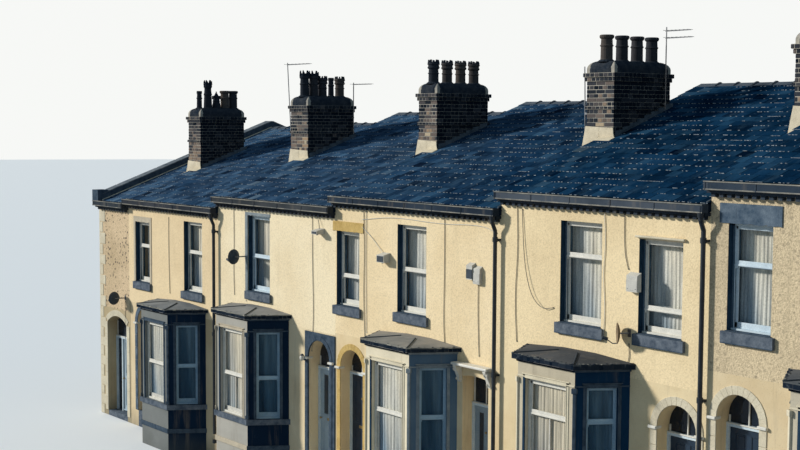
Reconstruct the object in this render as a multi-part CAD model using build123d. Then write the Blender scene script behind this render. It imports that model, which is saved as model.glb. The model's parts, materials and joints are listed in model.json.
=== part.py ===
"""Terraced row of stepped two-storey houses on a slope, with canted bays and shared chimney stacks.

Millimetres, +Z up. X runs along the row and rises with the street, the front faces -Y. Inside this
file Y is measured from the outer face of the front wall, and every solid is shifted by FRONT_Y as it
is written, so that the origin is the middle of the row's footprint at the lowest ground.
"""
import os
from math import atan2, cos, degrees, hypot, pi, radians, sin, tan
from typing import NamedTuple

from build123d import *


class House(NamedTuple):
    """One house: frontage, height of its gutter's rim and of its ground floor above the lowest ground."""

    name: str
    width: float
    eaves: float
    floor: float


class Window(NamedTuple):
    """One upper window: house, centre from the house's left party line, opening, sill, rail above the sill."""

    house: str
    centre: float
    width: float
    height: float
    sill: float
    rail: float


class Door(NamedTuple):
    """One doorway: its name, house, centre, opening, height where the head springs and its rise."""

    name: str
    house: str
    centre: float
    width: float
    spring: float
    rise: float
    hinge: str


class Bay(NamedTuple):
    """One canted bay: centre from the house's left party line, middle rail of its windows above the floor."""

    centre: float
    rail: float


class Pot(NamedTuple):
    """One kind of clay pot: height, radius at foot and neck, radius and height of its rim."""

    height: float
    foot: float
    neck: float
    rim: float
    rim_h: float


class Stack(NamedTuple):
    """One chimney stack on a party line: width along the row, front face, depth, pots from front to back."""

    width: float
    front: float
    depth: float
    pots: tuple


class Aerial(NamedTuple):
    """One aerial: party line, side of the stack, foot and top above the upper eaves, lean, booms."""

    line: int
    side: int
    y: float
    foot: float
    top: float
    lean: float
    booms: tuple


class Dish(NamedTuple):
    """One dish: house, its bracket from the left party line and above the floor, how far its face turns."""

    house: str
    x: float
    z: float
    turn: float


class WallBox(NamedTuple):
    """One lamp or alarm box: house, left edge, foot above the floor, width, height, how far out."""

    house: str
    x: float
    z: float
    width: float
    height: float
    out: float


HOUSES = [
    House("a", 1730, 5880, 140),
    House("b", 4620, 6000, 430),
    House("c", 4790, 6280, 720),
    House("d", 5120, 6515, 770),
    House("e", 4690, 6835, 1080),
    House("f", 4700, 7195, 1440),
]
WINDOWS = [
    Window("b", 785, 790, 1580, 3420, 960),
    Window("b", 3400, 900, 1740, 3420, 990),
    Window("c", 1790, 920, 1750, 3440, 825),
    Window("d", 440, 800, 1570, 3450, 640),
    Window("d", 2550, 900, 1750, 3530, 870),
    Window("e", 1975, 960, 1750, 3570, 1170),
    Window("e", 3715, 900, 1540, 3590, 430),
    Window("f", 735, 800, 1630, 3500, 1030),
    Window("f", 2725, 960, 1750, 3500, 1100),
]
DOORS = [
    Door("a", "a", 1005, 1130, 2450, 200, "right"),
    Door("b", "b", 870, 810, 2345, 405, "left"),
    Door("c", "c", 4210, 800, 2260, 400, "right"),
    Door("d_left", "d", 585, 790, 2165, 395, "left"),
    Door("d_right", "d", 4455, 720, 2560, 40, "right"),
    Door("e", "e", 4105, 790, 2165, 395, "right"),
    Door("f", "f", 585, 790, 2165, 395, "left"),
]
OPENING_DOORS = ["a", "b", "c", "d_left", "d_right"]
BAYS = {
    "b": Bay(2850, 1700),
    "c": Bay(1870, 1670),
    "d": Bay(2790, 1745),
    "e": Bay(1970, 2125),
    "f": Bay(2730, 1745),
}
POTS = {
    "roll": Pot(500, 123, 109, 140, 60),
    "crown": Pot(470, 110, 100, 128, 150),
    "tall": Pot(560, 108, 96, 118, 170),
    "spire": Pot(690, 118, 88, 112, 210),
    "cone": Pot(480, 128, 76, 98, 120),
    "thin": Pot(480, 78, 62, 76, 60),
}
STACKS = [
    Stack(640, 2000, 1360, ("thin", "spire", "cone", "roll", "roll")),
    Stack(740, 2320, 1360, ("tall", "tall", "crown", "thin", "crown")),
    Stack(620, 2480, 1470, ("crown", "crown", "crown", "crown")),
    Stack(690, 2500, 1570, ("roll", "roll", "roll", "roll")),
    Stack(690, 2500, 1570, ("roll", "roll", "roll", "roll")),
]
AERIALS = [
    Aerial(2, -1, 2360, 1500, 3230, -150, ((3180, 1000),)),
    Aerial(2, 1, 3640, 1480, 2750, 0, ((2700, 750),)),
    Aerial(4, -1, 2540, 1000, 2300, -40, ()),
    Aerial(4, 1, 3860, 1500, 3070, 0, ((2990, 600), (2855, 640))),
]
DISHES = [
    Dish("a", 1500, 3200, -10),
    Dish("c", 1240, 4230, 12),
    Dish("e", 3090, 3480, -14),
]
WALL_BOXES = [
    WallBox("c", 4200, 4960, 190, 120, 210),
    WallBox("d", 1640, 4500, 230, 190, 170),
    WallBox("d", 4270, 4400, 160, 310, 90),
    WallBox("d", 4440, 4330, 180, 330, 70),
    WallBox("e", 3090, 4270, 230, 310, 100),
]

# a cutting solid runs past what it cuts by this much
CUT = 1
# walls
DEPTH = 10860
FRONT_T = 400
BACK_T = 350
PARTY_T = 225
GABLE_T = 400
END_T = 330
# storeys, above each house's ground floor
PIER_TOP = 2850
UPPER_FLOOR = 2950
UPPER_SLAB = 220
GROUND_SLAB = 200
# roof
ROOF_PITCH = 20.0
ROOF_T = 130
EAVES_OVER = 60
VERGE = 40
RIDGE_LEG = 190
RIDGE_T = 28
RIDGE_TILE = 450
RIDGE_COLLAR = 45
RIDGE_COLLAR_RISE = 22
# raised stone coping on the left gable
COPING_W = 300
COPING_RISE = 170
KNEELER_BACK = 120
KNEELER_OUT = 130
KNEELER_RISE = 60
# gutters and the corbelled course that carries them
GUTTER_W = 150
GUTTER_WALL = 20
COURSE_OUT = 130
COURSE_H = 50
BLOCK_OUT = 90
BLOCK_H = 60
BLOCK_W = 75
BLOCK_PITCH = 150
END_GAP = 6
# rainwater pipes
PIPE_R = 38
PIPE_SIDES = 10
PIPE_FROM_LINE = 62
PIPE_OFF_WALL = 95
PIPE_HOUSES = ["b", "d", "e"]
PIPE_OFF_COURSE = 4
PIPE_NECK = 160
PIPE_BELOW_FLOOR = 150
HOLDER_W = 110
HOLDER_H = 34
HOLDERS = [140, 2600, 5200]
# canted bays
BAY_REACH = 780
BAY_HALF_FRONT = 670
BAY_HALF_WALL = 1150
BAY_T = 200
BAY_ROOF_T = 90
BAY_ROOF_RISE = 60
BAY_ROOF_TOP_SHARE = 0.3
BAY_ROOF_OVER = 100
BAY_SILL = 750
BAY_HEAD = 2690
BAY_FRIEZE = 310
BAY_FRONT_WINDOW = 960
BAY_SIDE_WINDOW = 520
# sash windows and sills
FRAME_SET = 180
FRAME_T = 70
FRAME_W = 55
RAIL_H = 60
GLASS_T = 10
SILL_H = 180
SILL_OUT = 60
SILL_SIDE = 75
BAY_SILL_OUT = 50
BAY_SILL_H = 120
REAR_SILL_ABOVE_FLOOR = 850
# doors
DOOR_SET = 280
POST_W = 45
POST_FRONT = 40
LEAF_H = 1980
LEAF_T = 44
LEAF_GAP = 5
LEAF_UNDER = 8
TRANSOM_H = 60
PANEL_SINK = 8
STILE = 95
BOTTOM_RAIL = 150
LOCK_RAIL = 830
LOCK_RAIL_H = 140
GLASS_PLAY = 0.3
SIDELIGHT = 290
HINGE_R = 8
HINGE_SIDES = 8
HINGE_OFF = 10
HINGE_HALF = 45
HINGE_FLAP = 30
HINGE_FLAP_T = 4
HINGE_PLAY = 0.3
HINGE_HEIGHTS = [230, 1700]
# raised surround of house c's doorway and brackets at the head of house d's right one
SURROUND_DOOR = "c"
SURROUND_OUT = 25
SURROUND_LEFT = 130
SURROUND_TOP = 2820
CONSOLE_DOOR = "d_right"
CONSOLE_W = 75
CONSOLE_H = 330
CONSOLE_OUT = 170
CONSOLE_FOOT_OUT = 35
CONSOLE_TOP = 2780
CONSOLE_OFF_DOOR = 20
CONSOLE_OFF_BAY = 20
# chimney stacks
STRING_ABOVE = 1480
STRING_H = 60
STRING_OUT = 25
CORNICE_ABOVE = 2010
CORNICE_H = 160
CORNICE_OUT = 55
FLAUNCH_H = 220
FLAUNCH_R = 150
CAP_OUT = 10
POT_WALL = 24
POT_SIDES = 10
POT_EDGE = 200
# lead apron at the foot of each stack's front face
APRON_H = 200
APRON_OUT = 150
APRON_T = 8
APRON_SIDE = 40
# aerials, beside their stacks
MAST_R = 12
BOOM_R = 7
MAST_OFF = 75
MAST_CLAMP = 40
CLAMP_HEIGHTS = [80, 380]
ROD_SIDES = 6
# dishes on the front wall
DISH_R = 175
DISH_DEEP = 40
DISH_T = 10
DISH_SIDES = 16
DISH_BACK = 240
DISH_PLATE_W = 70
DISH_PLATE_H = 130
DISH_PLATE_T = 12
DISH_ARM_R = 14
DISH_FOCUS = 250
DISH_HORN_R = 32
DISH_HORN = 90
# top of a lamp or alarm box slopes by this much
BOX_SLOPE = 45

TAN = tan(radians(ROOF_PITCH))
BAY_TOP = BAY_HEAD + BAY_FRIEZE
ROW_LENGTH = sum(h.width for h in HOUSES)
FRONT_REACH = BAY_REACH + BAY_ROOF_OVER
REAR_REACH = EAVES_OVER + GUTTER_W
FRONT_Y = (FRONT_REACH - REAR_REACH - DEPTH) / 2
LINES = [-ROW_LENGTH / 2 + sum(h.width for h in HOUSES[:i]) for i in range(len(HOUSES) + 1)]
HOUSE_INDEX = {h.name: i for i, h in enumerate(HOUSES)}


def box(x0, x1, y0, y1, z0, z1):
    """A plain block between two corners."""
    block = Box(x1 - x0, y1 - y0, z1 - z0, align=(Align.MIN, Align.MIN, Align.MIN))
    return Pos(x0, y0, z0) * block


def hull(points):
    """The convex solid round a few corners."""
    return ConvexPolyhedron(points)


def ring(radius, z, sides):
    """Corners of a level regular polygon about the Z axis."""
    turns = [2 * pi * i / sides for i in range(sides)]
    return [(radius * cos(turn), radius * sin(turn), z) for turn in turns]


def rod(start, end, radius):
    """A thin six-sided rod between two points."""
    start = Vector(*start)
    end = Vector(*end)
    length = (end - start).length
    return Plane(origin=start, z_dir=end - start) * hull(
        ring(radius, 0, ROD_SIDES) + ring(radius, length, ROD_SIDES))


def prism_x(points, x0, x1):
    """A Y-Z outline run along X."""
    face = make_face(Polyline(*points, close=True))
    return extrude(Plane.YZ.offset(x0) * face, amount=x1 - x0)


def prism_y(points, y0, y1):
    """An X-Z outline run along Y."""
    face = make_face(Polyline(*points, close=True))
    return extrude(Plane.XZ.offset(-y1) * face, amount=y1 - y0)


def prism_z(points, z0, z1):
    """An X-Y outline run up Z."""
    face = make_face(Polyline(*points, close=True))
    return extrude(Plane.XY.offset(z0) * face, amount=z1 - z0)


def write(node, solids):
    """Write one node, moved to the row's own origin."""
    shapes = []
    for item in solids:
        shapes += (Pos(0, FRONT_Y, 0) * item).solids()
    export_step(Compound(children=shapes), f"parts/{node}.step")


def left_x(house):
    """The party line at the left of a house."""
    return LINES[HOUSE_INDEX[house.name]]


def right_x(house):
    """The party line at the right of a house."""
    return LINES[HOUSE_INDEX[house.name] + 1]


def by_name(name):
    """The house with this letter."""
    return HOUSES[HOUSE_INDEX[name]]


def roof_top(house, y):
    """Height of the slates' upper face at a distance from the front wall."""
    return house.eaves + (min(y, DEPTH - y) + EAVES_OVER) * TAN


def roof_under(house, y):
    """Height of the roof's underside."""
    return roof_top(house, y) - ROOF_T


def room_x(house):
    """Inner faces of the walls at both sides of a house."""
    i = HOUSE_INDEX[house.name]
    x0 = LINES[i] + (GABLE_T if i == 0 else PARTY_T / 2)
    x1 = LINES[i + 1] - (END_T if i == len(HOUSES) - 1 else PARTY_T / 2)
    return x0, x1


# Front wall

def bay_inner_half():
    """Half the width of the opening from a room into its bay."""
    return cant_inner_x(0)


def cant_line():
    """Unit direction and length of the right-hand cant, from its front corner to the wall."""
    dx = BAY_HALF_WALL - BAY_HALF_FRONT
    length = hypot(dx, BAY_REACH)
    return dx / length, BAY_REACH / length, length


def cant_inner_x(y):
    """X of the right-hand cant's inner face at a height y of the plan, from the bay's centre."""
    ux, uy, _ = cant_line()
    wall_x = BAY_HALF_WALL - BAY_T / uy
    return wall_x + y * ux / uy


def front_openings(house):
    """Ground-floor openings of a house's front as (left, right), in order."""
    spans = []
    for door in DOORS:
        if door.house == house.name:
            x = left_x(house) + door.centre
            spans.append((x - door.width / 2, x + door.width / 2))
    if house.name in BAYS:
        x = left_x(house) + BAYS[house.name].centre
        spans.append((x - bay_inner_half(), x + bay_inner_half()))
    return sorted(spans)


def front_piers():
    """The ground-floor wall between doorways and bays, run through under the party lines."""
    pieces = []
    for house in HOUSES:
        edges = [left_x(house)]
        for span in front_openings(house):
            edges += list(span)
        edges.append(right_x(house))
        top = house.floor + PIER_TOP
        for x0, x1 in zip(edges[0::2], edges[1::2]):
            pieces.append(box(x0, x1, 0, FRONT_T, 0, top))
    joined = pieces[0]
    for piece in pieces[1:]:
        joined = joined + piece
    return [joined]


def window_hole(x, window, floor, y0, y1):
    """The cut for one upper window."""
    return box(x - window.width / 2, x + window.width / 2, y0, y1, floor + window.sill,
               floor + window.sill + window.height)


def upper_wall(house):
    """The first-floor front wall of one house, with its window openings."""
    foot = house.floor + PIER_TOP
    outline = [(0, foot), (FRONT_T, foot), (FRONT_T, roof_under(house, FRONT_T)), (0, roof_under(house, 0))]
    wall = prism_x(outline, left_x(house), right_x(house))
    for window in WINDOWS:
        if window.house == house.name:
            wall -= window_hole(left_x(house) + window.centre, window, house.floor, -CUT, FRONT_T + CUT)
    return wall


def door_x(door):
    """Centre of a doorway."""
    return left_x(by_name(door.house)) + door.centre


def head_outline(door, inset=0.0, foot=0.0):
    """Outline of a door head's opening, from foot up round its arch, as a face in X-Z."""
    half = door.width / 2 - inset
    spring = by_name(door.house).floor + door.spring
    x = door_x(door)
    crown = spring + door.rise - inset
    edges = [
        Line((x - half, foot), (x + half, foot)),
        Line((x + half, foot), (x + half, spring)),
        ThreePointArc((x + half, spring), (x, crown), (x - half, spring)),
        Line((x - half, spring), (x - half, foot)),
    ]
    return make_face(Wire(edges))


def door_hole(door, foot, depth):
    """The cut of a doorway's opening from the wall's outer face inwards."""
    outline = head_outline(door, 0, foot)
    return extrude(Plane.XZ.offset(-depth - CUT) * outline, amount=depth + 2 * CUT)


def door_head(door):
    """The arched masonry over a doorway, between its piers."""
    floor = by_name(door.house).floor
    x = door_x(door)
    foot = floor + door.spring
    block = box(x - door.width / 2, x + door.width / 2, 0, FRONT_T, foot, floor + PIER_TOP)
    return block - door_hole(door, foot - POST_W, FRONT_T)


def doorstep(door):
    """The stone threshold that closes the wall under a doorway."""
    floor = by_name(door.house).floor
    x = door_x(door)
    return box(x - door.width / 2, x + door.width / 2, 0, FRONT_T, 0, floor)


# Back, party and end walls

def rear_windows():
    """Openings in the back wall: the front's upper windows again on both storeys."""
    holes = []
    for window in WINDOWS:
        floor = by_name(window.house).floor
        x = left_x(by_name(window.house)) + max(window.centre, PARTY_T + window.width / 2)
        holes.append((x, window, floor + window.sill))
        holes.append((x, window, floor + REAR_SILL_ABOVE_FLOOR))
    return holes


def back_walls():
    """One back wall a house, between the party walls."""
    walls = []
    for house in HOUSES:
        x0, x1 = room_x(house)
        inner = DEPTH - BACK_T
        outline = [(inner, 0), (DEPTH, 0), (DEPTH, roof_under(house, DEPTH)), (inner, roof_under(house, inner))]
        wall = prism_x(outline, x0, x1)
        for x, window, sill in rear_windows():
            if window.house == house.name:
                half = window.width / 2
                wall -= box(x - half, x + half, inner - CUT, DEPTH + CUT, sill, sill + window.height)
        walls.append(wall)
    return walls


def cross_wall(house, x0, x1):
    """A wall from front to back whose top follows a house's roof."""
    middle = DEPTH / 2
    outline = [
        (FRONT_T, 0),
        (DEPTH, 0),
        (DEPTH, roof_under(house, DEPTH)),
        (middle, roof_under(house, middle)),
        (FRONT_T, roof_under(house, FRONT_T)),
    ]
    return prism_x(outline, x0, x1)


def party_walls():
    """The walls between houses, stepped where the roof steps."""
    walls = []
    for i in range(1, len(HOUSES)):
        lower = cross_wall(HOUSES[i - 1], LINES[i] - PARTY_T / 2, LINES[i])
        upper = cross_wall(HOUSES[i], LINES[i], LINES[i] + PARTY_T / 2)
        walls.append(lower + upper)
    return walls


# Floors

def ground_floor(house):
    """A ground-floor slab, carried on into the bay."""
    x0, x1 = room_x(house)
    bottom = house.floor - GROUND_SLAB
    slab = box(x0, x1, FRONT_T, DEPTH - BACK_T, max(bottom, 0), house.floor)
    if house.name in BAYS:
        centre = left_x(house) + BAYS[house.name].centre
        slab += prism_z(bay_inner_plan(centre), bottom, house.floor)
    return slab


def upper_floor(house):
    """A first-floor slab."""
    x0, x1 = room_x(house)
    top = house.floor + UPPER_FLOOR
    return box(x0, x1, FRONT_T, DEPTH - BACK_T, top - UPPER_SLAB, top)


# Roof

def roof_span(house):
    """Left and right edges of a house's slates."""
    i = HOUSE_INDEX[house.name]
    x0 = LINES[i] + (COPING_W if i == 0 else 0)
    x1 = LINES[i + 1] + (VERGE if i == len(HOUSES) - 1 else 0)
    return x0, x1


def roof(house):
    """Both slopes of one house's roof, with rafters, battens and slates as one thickness."""
    x0, x1 = roof_span(house)
    middle = DEPTH / 2
    far = DEPTH + EAVES_OVER
    outline = [
        (-EAVES_OVER, roof_top(house, -EAVES_OVER)),
        (middle, roof_top(house, middle)),
        (far, roof_top(house, far)),
        (far, roof_under(house, far)),
        (middle, roof_under(house, middle)),
        (-EAVES_OVER, roof_under(house, -EAVES_OVER)),
    ]
    return prism_x(outline, x0, x1)


def ridge_angle(house, leg, thickness, x0, x1):
    """An angle tile astride the ridge."""
    middle = DEPTH / 2
    top = roof_top(house, middle)
    run = leg * cos(radians(ROOF_PITCH))
    drop = leg * sin(radians(ROOF_PITCH))
    lift = thickness / cos(radians(ROOF_PITCH))
    outline = [
        (middle - run, top - drop),
        (middle, top),
        (middle + run, top - drop),
        (middle + run, top - drop + lift),
        (middle, top + lift),
        (middle - run, top - drop + lift),
    ]
    return prism_x(outline, x0, x1)


def ridge_run(house):
    """A house's run of clay ridge tiles, each with a raised collar over its joint."""
    x0, x1 = roof_span(house)
    x0 += END_GAP
    x1 -= END_GAP
    run = ridge_angle(house, RIDGE_LEG, RIDGE_T, x0, x1)
    joints = int((x1 - x0) / RIDGE_TILE)
    for i in range(1, joints + 1):
        x = x0 + i * RIDGE_TILE
        if x + RIDGE_COLLAR < x1:
            run += ridge_angle(house, RIDGE_LEG, RIDGE_T + RIDGE_COLLAR_RISE, x, x + RIDGE_COLLAR)
    return run


def gable_coping():
    """Raised stone coping along the left gable, with a kneeler block at each eaves."""
    house = HOUSES[0]
    x0 = LINES[0] - VERGE
    x1 = LINES[0] + COPING_W
    middle = DEPTH / 2
    far = DEPTH + EAVES_OVER
    outline = [
        (-EAVES_OVER, roof_under(house, -EAVES_OVER)),
        (middle, roof_under(house, middle)),
        (far, roof_under(house, far)),
        (far, roof_top(house, far) + COPING_RISE),
        (middle, roof_top(house, middle) + COPING_RISE),
        (-EAVES_OVER, roof_top(house, -EAVES_OVER) + COPING_RISE),
    ]
    coping = prism_x(outline, x0, x1)
    top = roof_top(house, KNEELER_BACK) + COPING_RISE + KNEELER_RISE
    front = box(x0, x1, -EAVES_OVER - KNEELER_OUT, KNEELER_BACK, house.eaves, top)
    back = box(x0, x1, DEPTH - KNEELER_BACK, far + KNEELER_OUT, house.eaves, top)
    return coping + front + back


# Eaves

def gutter(house, front=True):
    """A box gutter with closed ends along one eaves, as deep as the edge of the roof."""
    x0 = left_x(house) + END_GAP
    x1 = right_x(house) - END_GAP
    top = house.eaves
    inner = -EAVES_OVER
    outer = inner - GUTTER_W
    trough = box(x0, x1, outer, inner, top - ROOF_T, top)
    trough -= box(x0 + GUTTER_WALL, x1 - GUTTER_WALL, outer + GUTTER_WALL, inner - GUTTER_WALL,
                  top - ROOF_T + GUTTER_WALL, top + CUT)
    if front:
        return trough
    return mirror_to_back(trough)


def mirror_to_back(shape):
    """The same piece on the back of the row."""
    return mirror(shape, about=Plane.XZ.offset(-DEPTH / 2))


def course_front_height(house):
    """Top of the corbelled course, where the gutter sits."""
    return house.eaves - ROOF_T


def eaves_course(house):
    """Corbelled course under the front gutter: a band on a row of small blocks."""
    x0 = left_x(house) + END_GAP
    x1 = right_x(house) - END_GAP
    top = course_front_height(house)
    band = box(x0, x1, -COURSE_OUT, 0, top - COURSE_H, top)
    count = int((x1 - x0 - BLOCK_W) / BLOCK_PITCH) + 1
    start = x0 + (x1 - x0 - (count - 1) * BLOCK_PITCH - BLOCK_W) / 2
    comb = []
    for i in range(count):
        x = start + i * BLOCK_PITCH
        comb.append(box(x, x + BLOCK_W, -BLOCK_OUT, 0, top - COURSE_H - BLOCK_H, top - COURSE_H))
    return band.fuse(*comb)


def rear_course(house):
    """Plain course under the rear gutter."""
    x0 = left_x(house) + END_GAP
    x1 = right_x(house) - END_GAP
    top = course_front_height(house)
    return mirror_to_back(box(x0, x1, -COURSE_OUT, 0, top - COURSE_H, top))


def downpipe(house):
    """A rainwater pipe beside a house's right party line, with its swan neck and wall holders."""
    line = HOUSE_INDEX[house.name] + 1
    x = LINES[line] - PIPE_FROM_LINE
    outlet = -COURSE_OUT - PIPE_R - PIPE_OFF_COURSE
    top = course_front_height(house)
    neck_top = top - COURSE_H - BLOCK_H
    neck_low = neck_top - PIPE_NECK
    foot = HOUSES[line].floor - PIPE_BELOW_FLOOR
    path = Polyline((x, outlet, top), (x, outlet, neck_top), (x, -PIPE_OFF_WALL, neck_low),
                    (x, -PIPE_OFF_WALL, foot))
    section = Plane(origin=(x, outlet, top), z_dir=(0, 0, -1)) * RegularPolygon(PIPE_R, PIPE_SIDES)
    pipe = sweep(section, path=path, transition=Transition.RIGHT)
    for below in HOLDERS:
        z = neck_low - below
        pipe += box(x - HOLDER_W / 2, x + HOLDER_W / 2, -PIPE_OFF_WALL, 0, z - HOLDER_H, z)
    return pipe


# Bays

def bay_inner_plan(centre):
    """Plan of a bay's inside, through the wall to the room."""
    y_front = -BAY_REACH + BAY_T
    half_front = cant_inner_x(y_front)
    half_wall = cant_inner_x(0)
    return [
        (centre - half_wall, FRONT_T),
        (centre - half_wall, 0),
        (centre - half_front, y_front),
        (centre + half_front, y_front),
        (centre + half_wall, 0),
        (centre + half_wall, FRONT_T),
    ]


def bay_front(house):
    """The bay's front panel, mitred to its cants, with one window."""
    centre = left_x(house) + BAYS[house.name].centre
    y_inner = -BAY_REACH + BAY_T
    inner = cant_inner_x(y_inner)
    plan = [
        (centre - BAY_HALF_FRONT, -BAY_REACH),
        (centre + BAY_HALF_FRONT, -BAY_REACH),
        (centre + inner, y_inner),
        (centre - inner, y_inner),
    ]
    panel = prism_z(plan, 0, house.floor + BAY_TOP)
    half = BAY_FRONT_WINDOW / 2
    return panel - box(centre - half, centre + half, -BAY_REACH - CUT, y_inner + CUT, house.floor + BAY_SILL,
                       house.floor + BAY_HEAD)


def cant_frame(house, side):
    """Location at the outer face of a cant, at the middle of its window, X along the cant."""
    centre = left_x(house) + BAYS[house.name].centre
    ux, uy, length = cant_line()
    middle = length / 2
    x = centre + side * (BAY_HALF_FRONT + ux * middle)
    y = -BAY_REACH + uy * middle
    turn = degrees(atan2(uy, ux)) * side
    return Pos(x, y, house.floor) * Rot(0, 0, turn)


def bay_cant(house, side):
    """A bay's slanted side panel with one window, side 1 at the right and -1 at the left."""
    centre = left_x(house) + BAYS[house.name].centre
    y_inner = -BAY_REACH + BAY_T
    plan = [
        (centre + side * BAY_HALF_FRONT, -BAY_REACH),
        (centre + side * BAY_HALF_WALL, 0),
        (centre + side * cant_inner_x(0), 0),
        (centre + side * cant_inner_x(y_inner), y_inner),
    ]
    panel = prism_z(plan, 0, house.floor + BAY_TOP)
    half = BAY_SIDE_WINDOW / 2
    hole = box(-half, half, -BAY_T, 2 * BAY_T, BAY_SILL, BAY_HEAD)
    return panel - cant_frame(house, side) * hole


def bay_outline(house, outset):
    """A bay's outer plan, moved out by a distance on its three faces."""
    centre = left_x(house) + BAYS[house.name].centre
    ux, uy, _ = cant_line()
    front_y = -BAY_REACH - outset
    wall_half = BAY_HALF_WALL + outset / uy
    front_half = wall_half + front_y * ux / uy
    return [
        (centre - wall_half, 0),
        (centre - front_half, front_y),
        (centre + front_half, front_y),
        (centre + wall_half, 0),
    ]


def bay_roof(house):
    """A bay's slab roof with a low hipped top."""
    centre = left_x(house) + BAYS[house.name].centre
    plan = bay_outline(house, BAY_ROOF_OVER)
    foot = house.floor + BAY_TOP
    eaves = foot + BAY_ROOF_T
    share = BAY_ROOF_TOP_SHARE
    low = [(x, y, eaves) for x, y in plan]
    high = [(centre + (x - centre) * share, y * share, eaves + BAY_ROOF_RISE) for x, y in plan]
    return prism_z(plan, foot, eaves) + hull(low + high)


# Windows

def sash(width, height, rail):
    """A sash frame with a middle rail, centred in X, its foot at Z 0, outer face at Y 0."""
    half = width / 2
    frame = box(-half, half, 0, FRAME_T, 0, height)
    inner = half - FRAME_W
    frame -= box(-inner, inner, -CUT, FRAME_T + CUT, FRAME_W, rail - RAIL_H / 2)
    frame -= box(-inner, inner, -CUT, FRAME_T + CUT, rail + RAIL_H / 2, height - FRAME_W)
    return frame


def panes(width, height, rail):
    """The two sheets of glass in a sash frame."""
    inner = width / 2 - FRAME_W
    y0 = (FRAME_T - GLASS_T) / 2
    lower = box(-inner, inner, y0, y0 + GLASS_T, FRAME_W, rail - RAIL_H / 2)
    upper = box(-inner, inner, y0, y0 + GLASS_T, rail + RAIL_H / 2, height - FRAME_W)
    return [lower, upper]


def front_places():
    """Every front window as (location of its frame, width, height, rail)."""
    places = []
    for window in WINDOWS:
        house = by_name(window.house)
        x = left_x(house) + window.centre
        place = Pos(x, FRAME_SET, house.floor + window.sill)
        places.append((place, window.width, window.height, window.rail))
    for name, bay in BAYS.items():
        house = by_name(name)
        centre = left_x(house) + bay.centre
        height = BAY_HEAD - BAY_SILL
        rail = bay.rail - BAY_SILL
        set_in = (BAY_T - FRAME_T) / 2
        place = Pos(centre, -BAY_REACH + set_in, house.floor + BAY_SILL)
        places.append((place, BAY_FRONT_WINDOW, height, rail))
        for side in (-1, 1):
            place = cant_frame(house, side) * Pos(0, set_in, BAY_SILL)
            places.append((place, BAY_SIDE_WINDOW, height, rail))
    return places


def rear_places():
    """Every rear window as (location of its frame, width, height, rail), facing the back."""
    places = []
    for x, window, sill in rear_windows():
        place = Pos(x, DEPTH - FRAME_SET, sill) * Rot(0, 0, 180)
        places.append((place, window.width, window.height, window.rail))
    return places


def sill(x, width, top, front=True):
    """A stone sill against the wall's outer face."""
    half = width / 2 + SILL_SIDE
    piece = box(x - half, x + half, -SILL_OUT, 0, top - SILL_H, top)
    return piece if front else mirror_to_back(piece)


def bay_sill(house):
    """The sill course round a bay as its left, front and right stones, mitred at the corners."""
    top = house.floor + BAY_SILL
    outer = bay_outline(house, BAY_SILL_OUT)
    inner = bay_outline(house, 0)
    stones = []
    for i in range(3):
        plan = [outer[i], outer[i + 1], inner[i + 1], inner[i]]
        stones.append(prism_z(plan, top - BAY_SILL_H, top))
    return stones


def window_sills():
    """The sills of the upper front windows and the rear windows."""
    pieces = []
    for window in WINDOWS:
        house = by_name(window.house)
        pieces.append(sill(left_x(house) + window.centre, window.width, house.floor + window.sill))
    for x, window, top in rear_windows():
        pieces.append(sill(x, window.width, top, front=False))
    return pieces


# Doors

def leaf_width(door):
    """Width of a door's leaf in its frame."""
    clear = door.width - 2 * POST_W - 2 * LEAF_GAP
    if door.name == "a":
        clear -= SIDELIGHT + POST_W
    return clear


def leaf_span(door):
    """Left and right edges of a door's leaf."""
    x = door_x(door)
    if door.hinge == "right":
        right = x + door.width / 2 - POST_W - LEAF_GAP
        return right - leaf_width(door), right
    left = x - door.width / 2 + POST_W + LEAF_GAP
    return left, left + leaf_width(door)


def hinge_axis(door):
    """The upright line that a door turns about, in the gap beside its leaf and proud of its inner face."""
    x0, x1 = leaf_span(door)
    x = x1 + LEAF_GAP / 2 if door.hinge == "right" else x0 - LEAF_GAP / 2
    return x, DOOR_SET + LEAF_T + HINGE_OFF


def knuckle(door, foot, towards):
    """Half of one butt hinge: a knuckle on the axis and its flap, towards the leaf (1) or the post (-1)."""
    x, y = hinge_axis(door)
    side = -towards if door.hinge == "right" else towards
    barrel = Pos(x, y, foot) * hull(ring(HINGE_R, 0, HINGE_SIDES) + ring(HINGE_R, HINGE_HALF, HINGE_SIDES))
    edges = sorted((x, x + side * HINGE_FLAP))
    face = DOOR_SET + LEAF_T
    return barrel + box(edges[0], edges[1], face, face + HINGE_FLAP_T, foot, foot + HINGE_HALF)


def hinge_feet(door):
    """Heights of the leaf's knuckles."""
    return [by_name(door.house).floor + height for height in HINGE_HEIGHTS]


def door_leaf(door):
    """A four-panelled door with its halves of two butt hinges."""
    floor = by_name(door.house).floor + LEAF_UNDER
    x0, x1 = leaf_span(door)
    leaf = box(x0, x1, DOOR_SET, DOOR_SET + LEAF_T, floor, floor + LEAF_H)
    middle = (x0 + x1) / 2
    lock_rail = floor + LOCK_RAIL
    for z0, z1 in ((floor + BOTTOM_RAIL, lock_rail), (lock_rail + LOCK_RAIL_H, floor + LEAF_H - STILE)):
        for a, b in ((x0 + STILE, middle - STILE / 2), (middle + STILE / 2, x1 - STILE)):
            leaf -= box(a, b, DOOR_SET - CUT, DOOR_SET + PANEL_SINK, z0, z1)
            leaf -= box(a, b, DOOR_SET + LEAF_T - PANEL_SINK, DOOR_SET + LEAF_T + CUT, z0, z1)
    for foot in hinge_feet(door):
        leaf += knuckle(door, foot, 1)
    return leaf


def post_height():
    """Height of a door frame's posts above the threshold."""
    return LEAF_UNDER + LEAF_H + LEAF_GAP


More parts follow.
